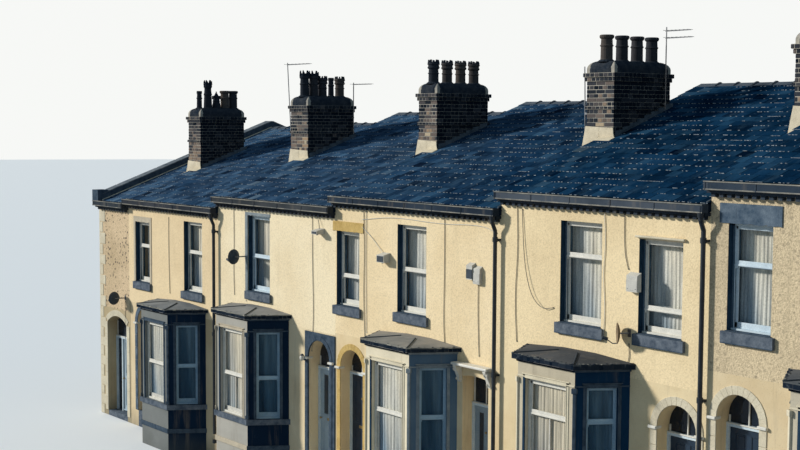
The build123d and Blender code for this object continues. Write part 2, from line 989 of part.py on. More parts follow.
def door_posts(door):
    """The upright posts of a door frame, with one more beside a side light."""
    floor = by_name(door.house).floor
    x = door_x(door)
    half = door.width / 2
    lefts = [x - half, x + half - POST_W]
    if door.name == "a":
        lefts.append(leaf_span(door)[0] - LEAF_GAP - POST_W)
    top = floor + post_height()
    posts = [box(a, a + POST_W, DOOR_SET - POST_FRONT, DOOR_SET + LEAF_T, floor, top) for a in lefts]
    hung = 1 if door.hinge == "right" else 0
    for foot in hinge_feet(door):
        posts[hung] += knuckle(door, foot + HINGE_HALF + HINGE_PLAY, -1)
    return posts


def door_transom(door):
    """The rail over a door, across the whole doorway."""
    foot = by_name(door.house).floor + post_height()
    x = door_x(door)
    half = door.width / 2
    return box(x - half, x + half, DOOR_SET - POST_FRONT, DOOR_SET + LEAF_T, foot, foot + TRANSOM_H)


def fanlight(door):
    """The fixed glass over a door's transom, under the arch."""
    foot = by_name(door.house).floor + post_height() + TRANSOM_H
    y0 = DOOR_SET + LEAF_T / 2 - GLASS_T / 2
    face = head_outline(door, GLASS_PLAY, foot)
    return extrude(Plane.XZ.offset(-y0 - GLASS_T) * face, amount=GLASS_T)


def side_light():
    """The fixed glass beside the end house's door."""
    door = DOORS[0]
    floor = by_name(door.house).floor
    x0 = door_x(door) - door.width / 2 + POST_W
    x1 = leaf_span(door)[0] - LEAF_GAP - POST_W
    y0 = DOOR_SET + LEAF_T / 2 - GLASS_T / 2
    return box(x0, x1, y0, y0 + GLASS_T, floor, floor + post_height())


def door_surround():
    """The raised flat surround of one arched doorway, out to the party line."""
    door = next(d for d in DOORS if d.name == SURROUND_DOOR)
    house = by_name(door.house)
    left = door_x(door) - door.width / 2 - SURROUND_LEFT
    plate = box(left, right_x(house), -SURROUND_OUT, 0, 0, house.floor + SURROUND_TOP)
    opening = door_hole(door, -CUT, SURROUND_OUT)
    return plate - Pos(0, -SURROUND_OUT, 0) * opening


def door_consoles():
    """A pair of scroll-shaped stone brackets at the head of one doorway."""
    door = next(d for d in DOORS if d.name == CONSOLE_DOOR)
    top = by_name(door.house).floor + CONSOLE_TOP
    low = top - CONSOLE_H
    belly = (-(CONSOLE_OUT + CONSOLE_FOOT_OUT) / 2, top - CONSOLE_H / 2)
    cap = top - CONSOLE_FOOT_OUT
    outline = Wire([
        Line((0, low), (0, top)),
        Line((0, top), (-CONSOLE_OUT, top)),
        Line((-CONSOLE_OUT, top), (-CONSOLE_OUT, cap)),
        ThreePointArc((-CONSOLE_OUT, cap), belly, (-CONSOLE_FOOT_OUT, low)),
        Line((-CONSOLE_FOOT_OUT, low), (0, low)),
    ])
    away = door.width / 2 + CONSOLE_OFF_DOOR
    beside_bay = left_x(by_name(door.house)) + BAYS[door.house].centre + BAY_HALF_WALL + CONSOLE_OFF_BAY
    brackets = []
    for left in (max(door_x(door) - away - CONSOLE_W, beside_bay), door_x(door) + away):
        brackets.append(extrude(Plane.YZ.offset(left) * make_face(outline), amount=CONSOLE_W))
    return brackets


# Fittings on the front wall

def dish(item):
    """A small dish on its bracket, with its arm and horn."""
    house = by_name(item.house)
    x = left_x(house) + item.x
    z = house.floor + item.z
    plate = box(x - DISH_PLATE_W / 2, x + DISH_PLATE_W / 2, -DISH_PLATE_T, 0, z - DISH_PLATE_H / 2,
                z + DISH_PLATE_H / 2)
    rim = ring(DISH_R, DISH_DEEP, DISH_SIDES)
    bowl = hull([(0, 0, 0)] + rim + ring(DISH_R, DISH_DEEP + DISH_T, DISH_SIDES))
    bowl -= hull([(0, 0, DISH_T)] + ring(DISH_R, DISH_DEEP + DISH_T, DISH_SIDES))
    bowl += rod((0, -DISH_R + DISH_T, DISH_DEEP), (0, -DISH_R / 2, DISH_FOCUS), DISH_ARM_R / 2)
    bowl += rod((0, -DISH_R / 2, DISH_FOCUS - DISH_HORN / 2), (0, -DISH_R / 2, DISH_FOCUS + DISH_HORN / 2),
                DISH_HORN_R)
    turn = radians(item.turn)
    back = (x + DISH_BACK * sin(turn), -DISH_BACK * cos(turn), z)
    stem = rod((x, -DISH_PLATE_T / 2, z), back, DISH_ARM_R)
    return plate + stem + Pos(*back) * Rot(0, 0, item.turn) * Rot(90, 0, 0) * bowl


def wall_box(item):
    """A lamp or alarm box with a sloped top."""
    house = by_name(item.house)
    x = left_x(house) + item.x
    z = house.floor + item.z
    top = z + item.height
    outline = [(0, z), (-item.out, z), (-item.out, top - BOX_SLOPE), (0, top)]
    return prism_x(outline, x, x + item.width)


# Chimneys

def stack_blank(line, stack):
    """A stack's full height as a block, before its foot is cut to the roofs."""
    x = LINES[line]
    eaves = HOUSES[line].eaves
    half = stack.width / 2
    y0 = stack.front
    y1 = stack.front + stack.depth
    shaft = box(x - half, x + half, y0, y1, eaves, eaves + CORNICE_ABOVE)
    string = box(x - half - STRING_OUT, x + half + STRING_OUT, y0 - STRING_OUT, y1 + STRING_OUT,
                 eaves + STRING_ABOVE, eaves + STRING_ABOVE + STRING_H)
    top = eaves + CORNICE_ABOVE + CORNICE_H
    low = box(x - half - CORNICE_OUT / 2, x + half + CORNICE_OUT / 2, y0 - CORNICE_OUT / 2,
              y1 + CORNICE_OUT / 2, eaves + CORNICE_ABOVE, top - CORNICE_H / 2)
    high = box(x - half - CORNICE_OUT, x + half + CORNICE_OUT, y0 - CORNICE_OUT, y1 + CORNICE_OUT,
               top - CORNICE_H / 2, top)
    cap = box(x - half - CAP_OUT, x + half + CAP_OUT, y0 - CAP_OUT, y1 + CAP_OUT, top, top + FLAUNCH_H)
    cap = fillet(cap.faces().sort_by(Axis.Z)[-1].edges(), FLAUNCH_R)
    return shaft + string + low + high + cap


def roof_body(house, x0, x1):
    """Everything under a house's slates, to cut a stack's foot."""
    middle = DEPTH / 2
    outline = [(0, 0), (DEPTH, 0), (DEPTH, roof_top(house, DEPTH)), (middle, roof_top(house, middle)),
               (0, roof_top(house, 0))]
    return prism_x(outline, x0, x1)


def chimney_stack(line, stack):
    """A brick stack astride a party line, seated on both roofs."""
    x = LINES[line]
    blank = stack_blank(line, stack)
    reach = stack.width + STRING_OUT
    blank -= roof_body(HOUSES[line - 1], x - reach, x)
    return blank - roof_body(HOUSES[line], x, x + reach)


def stack_apron(line, stack):
    """The lead apron at the foot of a stack's front face, stepped with the two roofs."""
    x = LINES[line]
    half = stack.width / 2 + APRON_SIDE
    lift = APRON_T / cos(radians(ROOF_PITCH))
    front = stack.front - APRON_OUT
    sheets = []
    for house, x0, x1 in ((HOUSES[line - 1], x - half, x), (HOUSES[line], x, x + half)):
        foot = roof_top(house, front)
        heel = roof_top(house, stack.front)
        outline = [
            (front, foot),
            (stack.front, heel),
            (stack.front, heel + APRON_H),
            (stack.front - APRON_T, heel + APRON_H),
            (stack.front - APRON_T, heel + lift),
            (front, foot + lift),
        ]
        sheets.append(prism_x(outline, x0, x1))
    return sheets[0] + sheets[1]


def chimney_pot(kind):
    """One clay pot, open through, standing at the origin."""
    body = hull(ring(kind.foot, 0, POT_SIDES) + ring(kind.neck, kind.height - kind.rim_h, POT_SIDES))
    rim = hull(ring(kind.rim, kind.height - kind.rim_h, POT_SIDES) + ring(kind.rim, kind.height, POT_SIDES))
    bore = kind.neck - POT_WALL
    return body + rim - hull(ring(bore, -CUT, POT_SIDES) + ring(bore, kind.height + CUT, POT_SIDES))


def chimney_pots(line, stack):
    """The line of clay pots on one stack."""
    base = HOUSES[line].eaves + CORNICE_ABOVE + CORNICE_H + FLAUNCH_H
    first = stack.front + POT_EDGE
    step = (stack.depth - 2 * POT_EDGE) / (len(stack.pots) - 1)
    return [Pos(LINES[line], first + i * step, base) * chimney_pot(POTS[kind]) for i, kind in enumerate(stack.pots)]


def aerial(item):
    """A mast clamped to the side of a stack, with its booms."""
    stack = STACKS[item.line - 1]
    eaves = HOUSES[item.line].eaves
    face = LINES[item.line] + item.side * stack.width / 2
    x = face + item.side * MAST_OFF
    foot = eaves + item.foot
    top = eaves + item.top
    pieces = rod((x, item.y, foot), (x + item.lean, item.y, top), MAST_R)
    for above in CLAMP_HEIGHTS:
        near, far = sorted((face, x))
        half = MAST_CLAMP / 2
        pieces += box(near, far, item.y - half, item.y + half, foot + above, foot + above + MAST_CLAMP)
    for height, length in item.booms:
        at = x + item.lean * (height - item.foot) / (item.top - item.foot)
        z = eaves + height
        pieces += rod((at - BOOM_R * 4, item.y, z), (at + length, item.y, z), BOOM_R)
    return pieces


def build():
    """Write every node of the row."""
    os.makedirs("parts", exist_ok=True)
    bays = [by_name(name) for name in BAYS]
    write("front_piers", front_piers())
    for house in HOUSES:
        write(f"front_upper_{house.name}", [upper_wall(house)])
        write(f"roof_{house.name}", [roof(house)])
    write("door_heads", [door_head(door) for door in DOORS])
    write("doorsteps", [doorstep(door) for door in DOORS])
    write("back_walls", back_walls())
    write("party_walls", party_walls())
    write("gable_wall", [cross_wall(HOUSES[0], LINES[0], LINES[0] + GABLE_T)])
    write("end_wall", [cross_wall(HOUSES[-1], LINES[-1] - END_T, LINES[-1])])
    write("ground_floors", [ground_floor(house) for house in HOUSES])
    write("upper_floors", [upper_floor(house) for house in HOUSES])
    write("ridge_tiles", [ridge_run(house) for house in HOUSES])
    write("gable_coping", [gable_coping()])
    write("front_gutters", [gutter(house) for house in HOUSES])
    write("rear_gutters", [gutter(house, front=False) for house in HOUSES])
    write("eaves_courses", [eaves_course(house) for house in HOUSES] + [rear_course(house) for house in HOUSES])
    write("downpipes", [downpipe(by_name(name)) for name in PIPE_HOUSES])
    write("bay_fronts", [bay_front(house) for house in bays])
    write("bay_left_cants", [bay_cant(house, -1) for house in bays])
    write("bay_right_cants", [bay_cant(house, 1) for house in bays])
    write("bay_roofs", [bay_roof(house) for house in bays])
    write("front_sashes", [place * sash(*size) for place, *size in front_places()])
    write("front_glass", [place * pane for place, *size in front_places() for pane in panes(*size)])
    write("rear_sashes", [place * sash(*size) for place, *size in rear_places()])
    write("rear_glass", [place * pane for place, *size in rear_places() for pane in panes(*size)])
    write("window_sills", window_sills())
    bay_stones = [bay_sill(by_name(name)) for name in BAYS]
    write("bay_sill_fronts", [front for left, front, right in bay_stones])
    write("bay_sill_cants", [stone for left, front, right in bay_stones for stone in (left, right)])
    for door in DOORS:
        if door.name in OPENING_DOORS:
            write(f"door_{door.name}", [door_leaf(door)])
    write("fixed_doors", [door_leaf(door) for door in DOORS if door.name not in OPENING_DOORS])
    write("door_posts", [post for door in DOORS for post in door_posts(door)])
    write("door_transoms", [door_transom(door) for door in DOORS])
    write("fanlights", [fanlight(door) for door in DOORS] + [side_light()])
    write("door_surround", [door_surround()])
    write("door_consoles", door_consoles())
    write("satellite_dishes", [dish(item) for item in DISHES])
    write("wall_boxes", [wall_box(item) for item in WALL_BOXES])
    lines = range(1, len(HOUSES))
    write("chimney_stacks", [chimney_stack(i, STACKS[i - 1]) for i in lines])
    write("chimney_pots", [pot for i in lines for pot in chimney_pots(i, STACKS[i - 1])])
    write("stack_aprons", [stack_apron(i, STACKS[i - 1]) for i in lines])
    write("aerials", [aerial(item) for item in AERIALS])


build()
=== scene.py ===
"""Looks of a stepped row of rendered terraced houses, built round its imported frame."""

import json
import random
from math import asin, cos, hypot, pi, radians, sin, tan

import bmesh
import bpy
from bpy.props import FloatProperty
from mathutils import Matrix, Vector

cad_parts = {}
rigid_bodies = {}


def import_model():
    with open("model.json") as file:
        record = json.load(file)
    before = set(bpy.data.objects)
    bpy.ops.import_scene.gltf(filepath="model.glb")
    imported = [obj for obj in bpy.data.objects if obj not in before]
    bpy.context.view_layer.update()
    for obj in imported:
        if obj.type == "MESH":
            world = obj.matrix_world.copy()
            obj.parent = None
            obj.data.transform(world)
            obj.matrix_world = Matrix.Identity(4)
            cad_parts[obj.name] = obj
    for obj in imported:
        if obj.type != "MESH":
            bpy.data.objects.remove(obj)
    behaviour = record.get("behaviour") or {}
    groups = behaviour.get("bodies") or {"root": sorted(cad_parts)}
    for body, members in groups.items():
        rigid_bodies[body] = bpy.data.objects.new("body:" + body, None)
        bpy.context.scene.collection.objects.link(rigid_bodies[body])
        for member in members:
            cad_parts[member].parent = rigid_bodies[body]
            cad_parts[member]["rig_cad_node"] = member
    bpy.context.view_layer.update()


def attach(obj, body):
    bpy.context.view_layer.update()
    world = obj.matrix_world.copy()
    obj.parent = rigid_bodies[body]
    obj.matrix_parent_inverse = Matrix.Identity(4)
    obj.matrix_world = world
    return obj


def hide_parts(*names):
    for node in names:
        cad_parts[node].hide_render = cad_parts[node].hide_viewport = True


bl_info = {
    "name": "Terraced house row",
    "version": (1, 0, 0),
    "blender": (4, 5, 0),
    "location": "3D View > Sidebar > Terrace",
    "description": "Dresses a row of terraced houses piece by piece",
    "category": "Object",
}

WALL_Y = -5.095
DEPTH = 10.86
BACK_Y = WALL_Y + DEPTH
RIDGE_Y = WALL_Y + DEPTH / 2
PITCH_DEGREES = 20
PITCH = radians(PITCH_DEGREES)
EAVES_OVER = 0.06
SLOPE_LENGTH = (DEPTH / 2 + EAVES_OVER) / cos(PITCH)
ROOF_T = 0.13
COPING_W = 0.3
# house: name, width, eaves, ground floor
HOUSES = [
    ("a", 1.73, 5.88, 0.14),
    ("b", 4.62, 6.0, 0.43),
    ("c", 4.79, 6.28, 0.72),
    ("d", 5.12, 6.515, 0.77),
    ("e", 4.69, 6.835, 1.08),
    ("f", 4.7, 7.195, 1.44),
]
LENGTH = sum(h[1] for h in HOUSES)
LINES = [-LENGTH / 2 + sum(h[1] for h in HOUSES[:i]) for i in range(7)]
LEFT = {h[0]: LINES[i] for i, h in enumerate(HOUSES)}
RIGHT = {h[0]: LINES[i + 1] for i, h in enumerate(HOUSES)}
EAVES = {h[0]: h[2] for h in HOUSES}
FLOOR = {h[0]: h[3] for h in HOUSES}
# upper window: house, centre from the left party line, width, height, sill above floor, rail above sill
WINDOWS = [
    ("b", 0.785, 0.79, 1.58, 3.42, 0.96),
    ("b", 3.4, 0.9, 1.74, 3.42, 0.99),
    ("c", 1.79, 0.92, 1.75, 3.44, 0.825),
    ("d", 0.44, 0.8, 1.57, 3.45, 0.64),
    ("d", 2.55, 0.9, 1.75, 3.53, 0.87),
    ("e", 1.975, 0.96, 1.75, 3.57, 1.17),
    ("e", 3.715, 0.9, 1.54, 3.59, 0.43),
    ("f", 0.735, 0.8, 1.63, 3.5, 1.03),
    ("f", 2.725, 0.96, 1.75, 3.5, 1.1),
]
# doorway: house, centre, width, spring above floor, rise, hinge side
DOORS = {
    "a": ("a", 1.005, 1.13, 2.45, 0.2, 1),
    "b": ("b", 0.87, 0.81, 2.345, 0.405, -1),
    "c": ("c", 4.21, 0.8, 2.26, 0.4, 1),
    "d_left": ("d", 0.585, 0.79, 2.165, 0.395, -1),
    "d_right": ("d", 4.455, 0.72, 2.56, 0.04, 1),
    "e": ("e", 4.105, 0.79, 2.165, 0.395, 1),
    "f": ("f", 0.585, 0.79, 2.165, 0.395, -1),
}
FIXED_DOORS = ("e", "f")
# bay: centre from the left party line, rail above floor
BAYS = {"b": (2.85, 1.7), "c": (1.87, 1.67), "d": (2.79, 1.745), "e": (1.97, 2.125), "f": (2.73, 1.745)}
BAY_REACH = 0.78
BAY_FRONT = 0.67
BAY_WALL = 1.15
BAY_TOP = 3.0
BAY_SILL = 0.75
BAY_HEAD = 2.69
BAY_WINDOW = 0.96
CANT_WINDOW = 0.52
CANT_LENGTH = hypot(BAY_WALL - BAY_FRONT, BAY_REACH)
CANT_X = (BAY_WALL - BAY_FRONT) / CANT_LENGTH
CANT_Y = BAY_REACH / CANT_LENGTH
# stack: width, front, depth, pots from front to back
STACKS = [
    (0.64, 2.0, 1.36, ("thin", "spire", "cone", "roll", "roll")),
    (0.74, 2.32, 1.36, ("tall", "tall", "crown", "thin", "crown")),
    (0.62, 2.48, 1.47, ("crown", "crown", "crown", "crown")),
    (0.69, 2.5, 1.57, ("roll", "roll", "roll", "roll")),
    (0.69, 2.5, 1.57, ("roll", "roll", "roll", "roll")),
]
STRING_ABOVE = 1.48
CORNICE_ABOVE = 2.01
CORNICE_H = 0.16
FLAUNCH_H = 0.22
DOOR_SET = 0.28
LEAF_T = 0.044
LEAF_H = 1.98
POST_W = 0.045
LEAF_UNDER = 0.008
LEAF_GAP = 0.005
SIDELIGHT = 0.29
DOOR_STILE = 0.095
FRAME_SET = 0.18
BAY_FRAME_SET = 0.065
REAR_SILL = 0.85
REAR_CLEAR = 0.225
CANT_TURN = 58.392
STRING_H = 0.06
STRING_OUT = 0.025
GUTTER_REACH = 0.21
POT_WALL = 0.024
BRICK_LENGTH = 0.225
BRICK_PROUD = 0.006


def roof_top(house, y):
    """Height of the roof's upper face at a distance from the front wall."""
    return EAVES[house] + (min(y, DEPTH - y) + EAVES_OVER) * tan(PITCH)


def move(x, y, z):
    """A shift as a matrix."""
    return Matrix.Translation((x, y, z))


def turn(degrees_, axis):
    """A turn about one axis as a matrix."""
    return Matrix.Rotation(radians(degrees_), 4, axis)


def slope_place(side, x, height):
    """The foot of a roof slope, local X along the eaves and Y up the slope; side is 1 in front, -1 behind."""
    y = WALL_Y - EAVES_OVER if side == 1 else BACK_Y + EAVES_OVER
    return move(x, y, height) @ (Matrix() if side == 1 else turn(180, "Z")) @ turn(PITCH_DEGREES, "X")


def make_piece(bm, name, materials):
    """An object of the scene from a finished bmesh, which it frees."""
    mesh = bpy.data.meshes.new(name)
    bm.to_mesh(mesh)
    bm.free()
    for material in materials:
        mesh.materials.append(look(material))
    piece = bpy.data.objects.new(name, mesh)
    bpy.context.scene.collection.objects.link(piece)
    return piece


class Shape:
    """A growing mesh whose corners carry a tone, read by the materials."""

    def __init__(self, name, materials):
        self.name = name
        self.materials = materials
        self.laid = []
        self.start()

    def start(self):
        """Opens an empty mesh."""
        self.bm = bmesh.new()
        self.tone = self.bm.verts.layers.float.new("tone")

    def set_aside(self, limit=1500):
        """Keeps what is built so far as a mesh of its own, because bmesh works faster on a small one."""
        if len(self.bm.faces) > limit:
            part = bpy.data.meshes.new(self.name)
            self.bm.to_mesh(part)
            self.bm.free()
            self.laid.append(part)
            self.start()

    def mark(self, verts, tone, slot):
        """Gives corners their tone and their faces a material."""
        for v in verts:
            v[self.tone] = tone
        for f in {f for v in verts for f in v.link_faces}:
            f.material_index = slot

    def ease(self, edges, offset, segments=1):
        """Bevels edges by a distance."""
        bmesh.ops.bevel(self.bm, geom=edges, offset=offset, offset_type="OFFSET", segments=segments,
                        profile=0.5, affect="EDGES", material=-1)

    def block(self, low, high, slot=0, tone=0.5, place=None, bevel=0.004, segments=1):
        """A block between two corners, with its edges eased by a bevel."""
        self.set_aside()
        size = Vector(high) - Vector(low)
        centre = (Vector(high) + Vector(low)) / 2
        matrix = (place or Matrix()) @ Matrix.Translation(centre) @ Matrix.Diagonal((*size, 1))
        verts = bmesh.ops.create_cube(self.bm, size=1, matrix=matrix)["verts"]
        self.mark(verts, tone, slot)
        if bevel:
            self.ease(list({e for v in verts for e in v.link_edges}), bevel, segments)
        return verts

    def rod(self, start, end, radius, slot=0, tone=0.5, sides=8, radius2=None):
        """A round bar between two points, tapered where it has a second radius."""
        self.set_aside()
        start = Vector(start)
        way = Vector(end) - start
        matrix = Matrix.Translation(start + way / 2) @ way.to_track_quat("Z", "Y").to_matrix().to_4x4()
        verts = bmesh.ops.create_cone(self.bm, cap_ends=True, cap_tris=False, segments=sides, radius1=radius,
                                      radius2=radius if radius2 is None else radius2, depth=way.length,
                                      matrix=matrix)["verts"]
        self.mark(verts, tone, slot)

    def ball(self, centre, radius, slot=0, tone=0.5, stretch=(1, 1, 1)):
        """A rounded knob."""
        matrix = Matrix.Translation(centre) @ Matrix.Diagonal((*stretch, 1))
        verts = bmesh.ops.create_icosphere(self.bm, subdivisions=2, radius=radius, matrix=matrix)["verts"]
        self.mark(verts, tone, slot)

    def line(self, points, radius, slot=0):
        """A run of thin round bar through points, with a knuckle at each bend."""
        for a, b in zip(points, points[1:]):
            self.rod(a, b, radius, slot, sides=6)
        for p in points[1:-1]:
            matrix = Matrix.Translation(p)
            verts = bmesh.ops.create_icosphere(self.bm, subdivisions=1, radius=radius, matrix=matrix)["verts"]
            self.mark(verts, 0.5, slot)

    def prism(self, outline, place, depth, slot=0, tone=0.5, bevel=0.0):
        """An outline in local X-Z pushed out along local -Y."""
        self.set_aside()
        made = [self.bm.verts.new(place @ Vector((x, 0, z))) for x, z in outline]
        face = self.bm.faces.new(made)
        out = bmesh.ops.extrude_face_region(self.bm, geom=[face])["geom"]
        moved = [g for g in out if isinstance(g, bmesh.types.BMVert)]
        bmesh.ops.translate(self.bm, verts=moved, vec=place.to_3x3() @ Vector((0, -depth, 0)))
        self.mark(made + moved, tone, slot)
        if bevel:
            self.ease(list({e for v in moved for e in v.link_edges if all(w in moved for w in e.verts)}),
                      bevel)

    def spin(self, profile, place, slot=0, tone=0.5, steps=20):
        """A closed profile of radius and height turned about an upright axis."""
        self.set_aside()
        before = set(self.bm.verts)
        verts = [self.bm.verts.new((r, 0, z)) for r, z in profile]
        edges = [self.bm.edges.new(pair) for pair in zip(verts, verts[1:])]
        edges.append(self.bm.edges.new((verts[-1], verts[0])))
        bmesh.ops.spin(self.bm, geom=verts + edges, cent=(0, 0, 0), axis=(0, 0, 1), dvec=(0, 0, 0),
                       angle=2 * pi, steps=steps, use_merge=True, use_duplicate=False)
        new = [v for v in self.bm.verts if v not in before]
        bmesh.ops.transform(self.bm, matrix=place, verts=new)
        self.mark(new, tone, slot)

    def done(self, body, replaces=()):
        """Makes the object, which rides on a body and takes its finish from a slot where it has one."""
        self.set_aside(0)
        for part in self.laid:
            self.bm.from_mesh(part)
            bpy.data.meshes.remove(part)
        if not self.bm.faces:
            raise RuntimeError(f"{self.name} has no faces")
        bmesh.ops.recalc_face_normals(self.bm, faces=self.bm.faces)
        piece = make_piece(self.bm, self.name, self.materials)
        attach(piece, body)
        if replaces:
            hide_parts(*replaces)


# Materials

class Look:
    """A node material over the Principled shader, with short calls for its nodes."""

    def __init__(self, name, rough=0.85, metal=0.0, alpha=1.0, coat=0.0, sheen=0.0, gloss=None):
        self.material = bpy.data.materials.new(name)
        self.material.use_nodes = True
        self.tree = self.material.node_tree
        self.shader = self.tree.nodes["Principled BSDF"]
        if gloss is None:
            gloss = 0.0 if rough >= 0.8 else 0.2
        for socket, value in (("Roughness", rough), ("Metallic", metal), ("Alpha", alpha),
                              ("Coat Weight", coat), ("Sheen Weight", sheen), ("Specular IOR Level", gloss)):
            self.shader.inputs[socket].default_value = value
        self.place = self.node("ShaderNodeTexCoord").outputs["Object"]
        parts = self.node("ShaderNodeSeparateXYZ")
        self.tree.links.new(self.place, parts.inputs[0])
        self.x, self.y, self.z = parts.outputs

    def node(self, kind):
        return self.tree.nodes.new(kind)

    def put(self, socket, value):
        """Sets a socket to a value or joins it to another's output."""
        if isinstance(value, bpy.types.NodeSocket):
            self.tree.links.new(value, socket)
        elif hasattr(value, "__len__") and len(value) == 3 and socket.type == "RGBA":
            socket.default_value = (*value, 1)
        else:
            socket.default_value = value

    def scaled(self, stretch):
        """Object coordinates stretched along the axes."""
        mapping = self.node("ShaderNodeMapping")
        mapping.inputs["Scale"].default_value = stretch
        self.tree.links.new(self.place, mapping.inputs["Vector"])
        return mapping.outputs["Vector"]

    def noise(self, scale, detail, rough, stretch=None):
        n = self.node("ShaderNodeTexNoise")
        n.inputs["Scale"].default_value = scale
        n.inputs["Detail"].default_value = detail
        n.inputs["Roughness"].default_value = rough
        self.put(n.inputs["Vector"], self.scaled(stretch) if stretch else self.place)
        return n.outputs["Fac"]

    def cells(self, scale):
        n = self.node("ShaderNodeTexVoronoi")
        n.inputs["Scale"].default_value = scale
        self.put(n.inputs["Vector"], self.place)
        return n.outputs["Distance"]

    def attribute(self):
        n = self.node("ShaderNodeAttribute")
        n.attribute_name = "tone"
        return n.outputs["Fac"]

    def ramp(self, fac, stops, constant=False):
        n = self.node("ShaderNodeValToRGB")
        if constant:
            n.color_ramp.interpolation = "CONSTANT"
        elements = n.color_ramp.elements
        while len(elements) < len(stops):
            elements.new(0.5)
        for element, (at, colour) in zip(elements, stops):
            element.position = at
            element.color = (*colour, 1) if hasattr(colour, "__len__") else (colour, colour, colour, 1)
        self.put(n.inputs["Fac"], fac)
        return n.outputs["Color"]

    def mix(self, fac, a, b, mode="MIX"):
        n = self.node("ShaderNodeMix")
        n.data_type = "RGBA"
        n.blend_type = mode
        self.put(n.inputs["Factor"], fac)
        self.put(n.inputs[6], a)
        self.put(n.inputs[7], b)
        return n.outputs[2]

    def shade(self, colour, fac, stops):
        """A colour darkened by a ramp."""
        return self.mix(1.0, colour, self.ramp(fac, stops), "MULTIPLY")

    def cover(self, colour, fac, stops, other):
        """A colour with another over it where a ramp says."""
        return self.mix(self.ramp(fac, stops), colour, other)

    def along_row(self):
        """Share of the row's length, 0 at its lower end and 1 at its upper end."""
        share = self.node("ShaderNodeMapRange")
        share.inputs["From Min"].default_value = -LENGTH / 2
        share.inputs["From Max"].default_value = LENGTH / 2
        self.put(share.inputs["Value"], self.x)
        return share.outputs[0]

    def maths(self, operation, a, b):
        n = self.node("ShaderNodeMath")
        n.operation = operation
        self.put(n.inputs[0], a)
        self.put(n.inputs[1], b)
        return n.outputs[0]

    def bump(self, height, strength=0.5, distance=0.01):
        n = self.node("ShaderNodeBump")
        n.inputs["Strength"].default_value = strength
        n.inputs["Distance"].default_value = distance
        self.put(n.inputs["Height"], height)
        self.put(self.shader.inputs["Normal"], n.outputs["Normal"])

    def colour(self, value):
        self.put(self.shader.inputs["Base Color"], value)
        return self.material


def mottled(name, dark, light, scale, grain=60.0, rough=0.85, bump=0.3, depth=0.004, metal=0.0,
            streak=None, contrast=0.25, coat=0.0):
    """A surface between two colours in broad patches, with a fine grain."""
    look_ = Look(name, rough=rough, metal=metal, coat=coat)
    patches = look_.noise(scale, 6, 0.65, streak)
    fine = look_.noise(grain, 3, 0.7)
    mixed = look_.ramp(patches, [(0.5 - contrast, dark), (0.5 + contrast, light)])
    shade = look_.ramp(fine, [(0.3, 0.72), (0.7, 1.0)])
    look_.bump(fine, bump, depth)
    return look_.colour(look_.mix(1.0, mixed, shade, "MULTIPLY"))


def wall_look(name, base, stain, rough_cast=0.5, spots=0.0, grime=0.4):
    """Painted roughcast: broad stains, dribbles, a gritty face and, if asked, dark spots."""
    look_ = Look(name, rough=0.95)
    broad = look_.noise(0.55, 5, 0.6)
    streaks = look_.noise(1.1, 6, 0.7, (3.2, 3.2, 0.22))
    speck = look_.noise(30, 4, 0.8)
    grit = look_.noise(13, 5, 0.75)
    pebble = look_.cells(42)
    colour = look_.ramp(broad, [(0.32, stain), (0.56, base)])
    colour = look_.cover(colour, streaks, [(0.54, 0.0), (0.74, grime)], tuple(c * 0.6 for c in stain))
    colour = look_.shade(colour, speck, [(0.30, 0.82 - 0.3 * rough_cast), (0.56, 1.0)])
    colour = look_.shade(colour, grit, [(0.28, 0.93 - 0.1 * rough_cast), (0.52, 1.0)])
    colour = look_.cover(colour, pebble, [(0.05, 0.5 * rough_cast), (0.2, 0.0)],
                         tuple(c * 0.5 for c in stain))
    if spots:
        shed = look_.cells(9.5)
        patch = look_.noise(1.8, 5, 0.65)
        hole = look_.maths("MULTIPLY", look_.ramp(shed, [(0.20, 1.0), (0.32, 0.0)]),
                           look_.ramp(patch, [(0.38, 0.1 * spots), (0.52, spots)]))
        colour = look_.mix(hole, colour, (0.07, 0.065, 0.06))
    look_.bump(look_.mix(0.5, pebble, speck), 0.3 + 0.6 * rough_cast, 0.012)
    return look_.colour(colour)


def tone_look(name, stops, grain, rough, bump, depth, pale=None):
    """A colour read from each piece's tone, with a fine grain and, if given, pale growth in patches."""
    look_ = Look(name, rough=rough)
    tone = look_.attribute()
    fine = look_.noise(grain, 4, 0.7)
    colour = look_.ramp(tone, stops)
    colour = look_.shade(colour, fine, [(0.25, 0.62), (0.75, 1.0)])
    if pale:
        patches = look_.noise(5.5, 7, 0.75)
        colour = look_.cover(colour, patches, [(0.58, 0.0), (0.70, 0.7)], pale)
    look_.bump(fine, bump, depth)
    return look_.colour(colour)


def slate_look(name, stops, worn, faded):
    """Slates by their own tone, with a painted sheen that makes them paler and greyer down the row, and worn
    in patches and in streaks down the slope.
    """
    look_ = Look(name, rough=0.85)
    fine = look_.noise(30, 4, 0.7)
    broad = look_.noise(0.9, 5, 0.65)
    streaks = look_.noise(2.4, 6, 0.75, (1.6, 0.5, 0.5))
    patches = look_.noise(5.5, 7, 0.75)
    tone = look_.attribute()
    colour = look_.ramp(tone, stops)
    colour = look_.shade(colour, broad, [(0.38, 0.6), (0.6, 1.0)])
    colour = look_.cover(colour, streaks, [(0.52, 0.0), (0.72, 0.55)], worn)
    colour = look_.cover(colour, patches, [(0.60, 0.0), (0.70, 0.7)], worn)
    # Painted sheen: a pale colour added towards the row's lower end, varied by the streaks and by each
    # slate's tone.
    far = look_.ramp(look_.along_row(), [(0.05, 0.95), (0.38, 0.7), (0.52, 0.35), (0.66, 0.0)])
    far = look_.maths("MULTIPLY", far, look_.ramp(streaks, [(0.34, 0.3), (0.66, 1.0)]))
    far = look_.maths("MULTIPLY", far, look_.ramp(tone, [(0.1, 0.2), (0.8, 1.0)]))
    colour = look_.mix(far, colour, faded, "ADD")
    colour = look_.shade(colour, fine, [(0.25, 0.62), (0.75, 1.0)])
    look_.bump(fine, 0.6, 0.006)
    return look_.colour(colour)


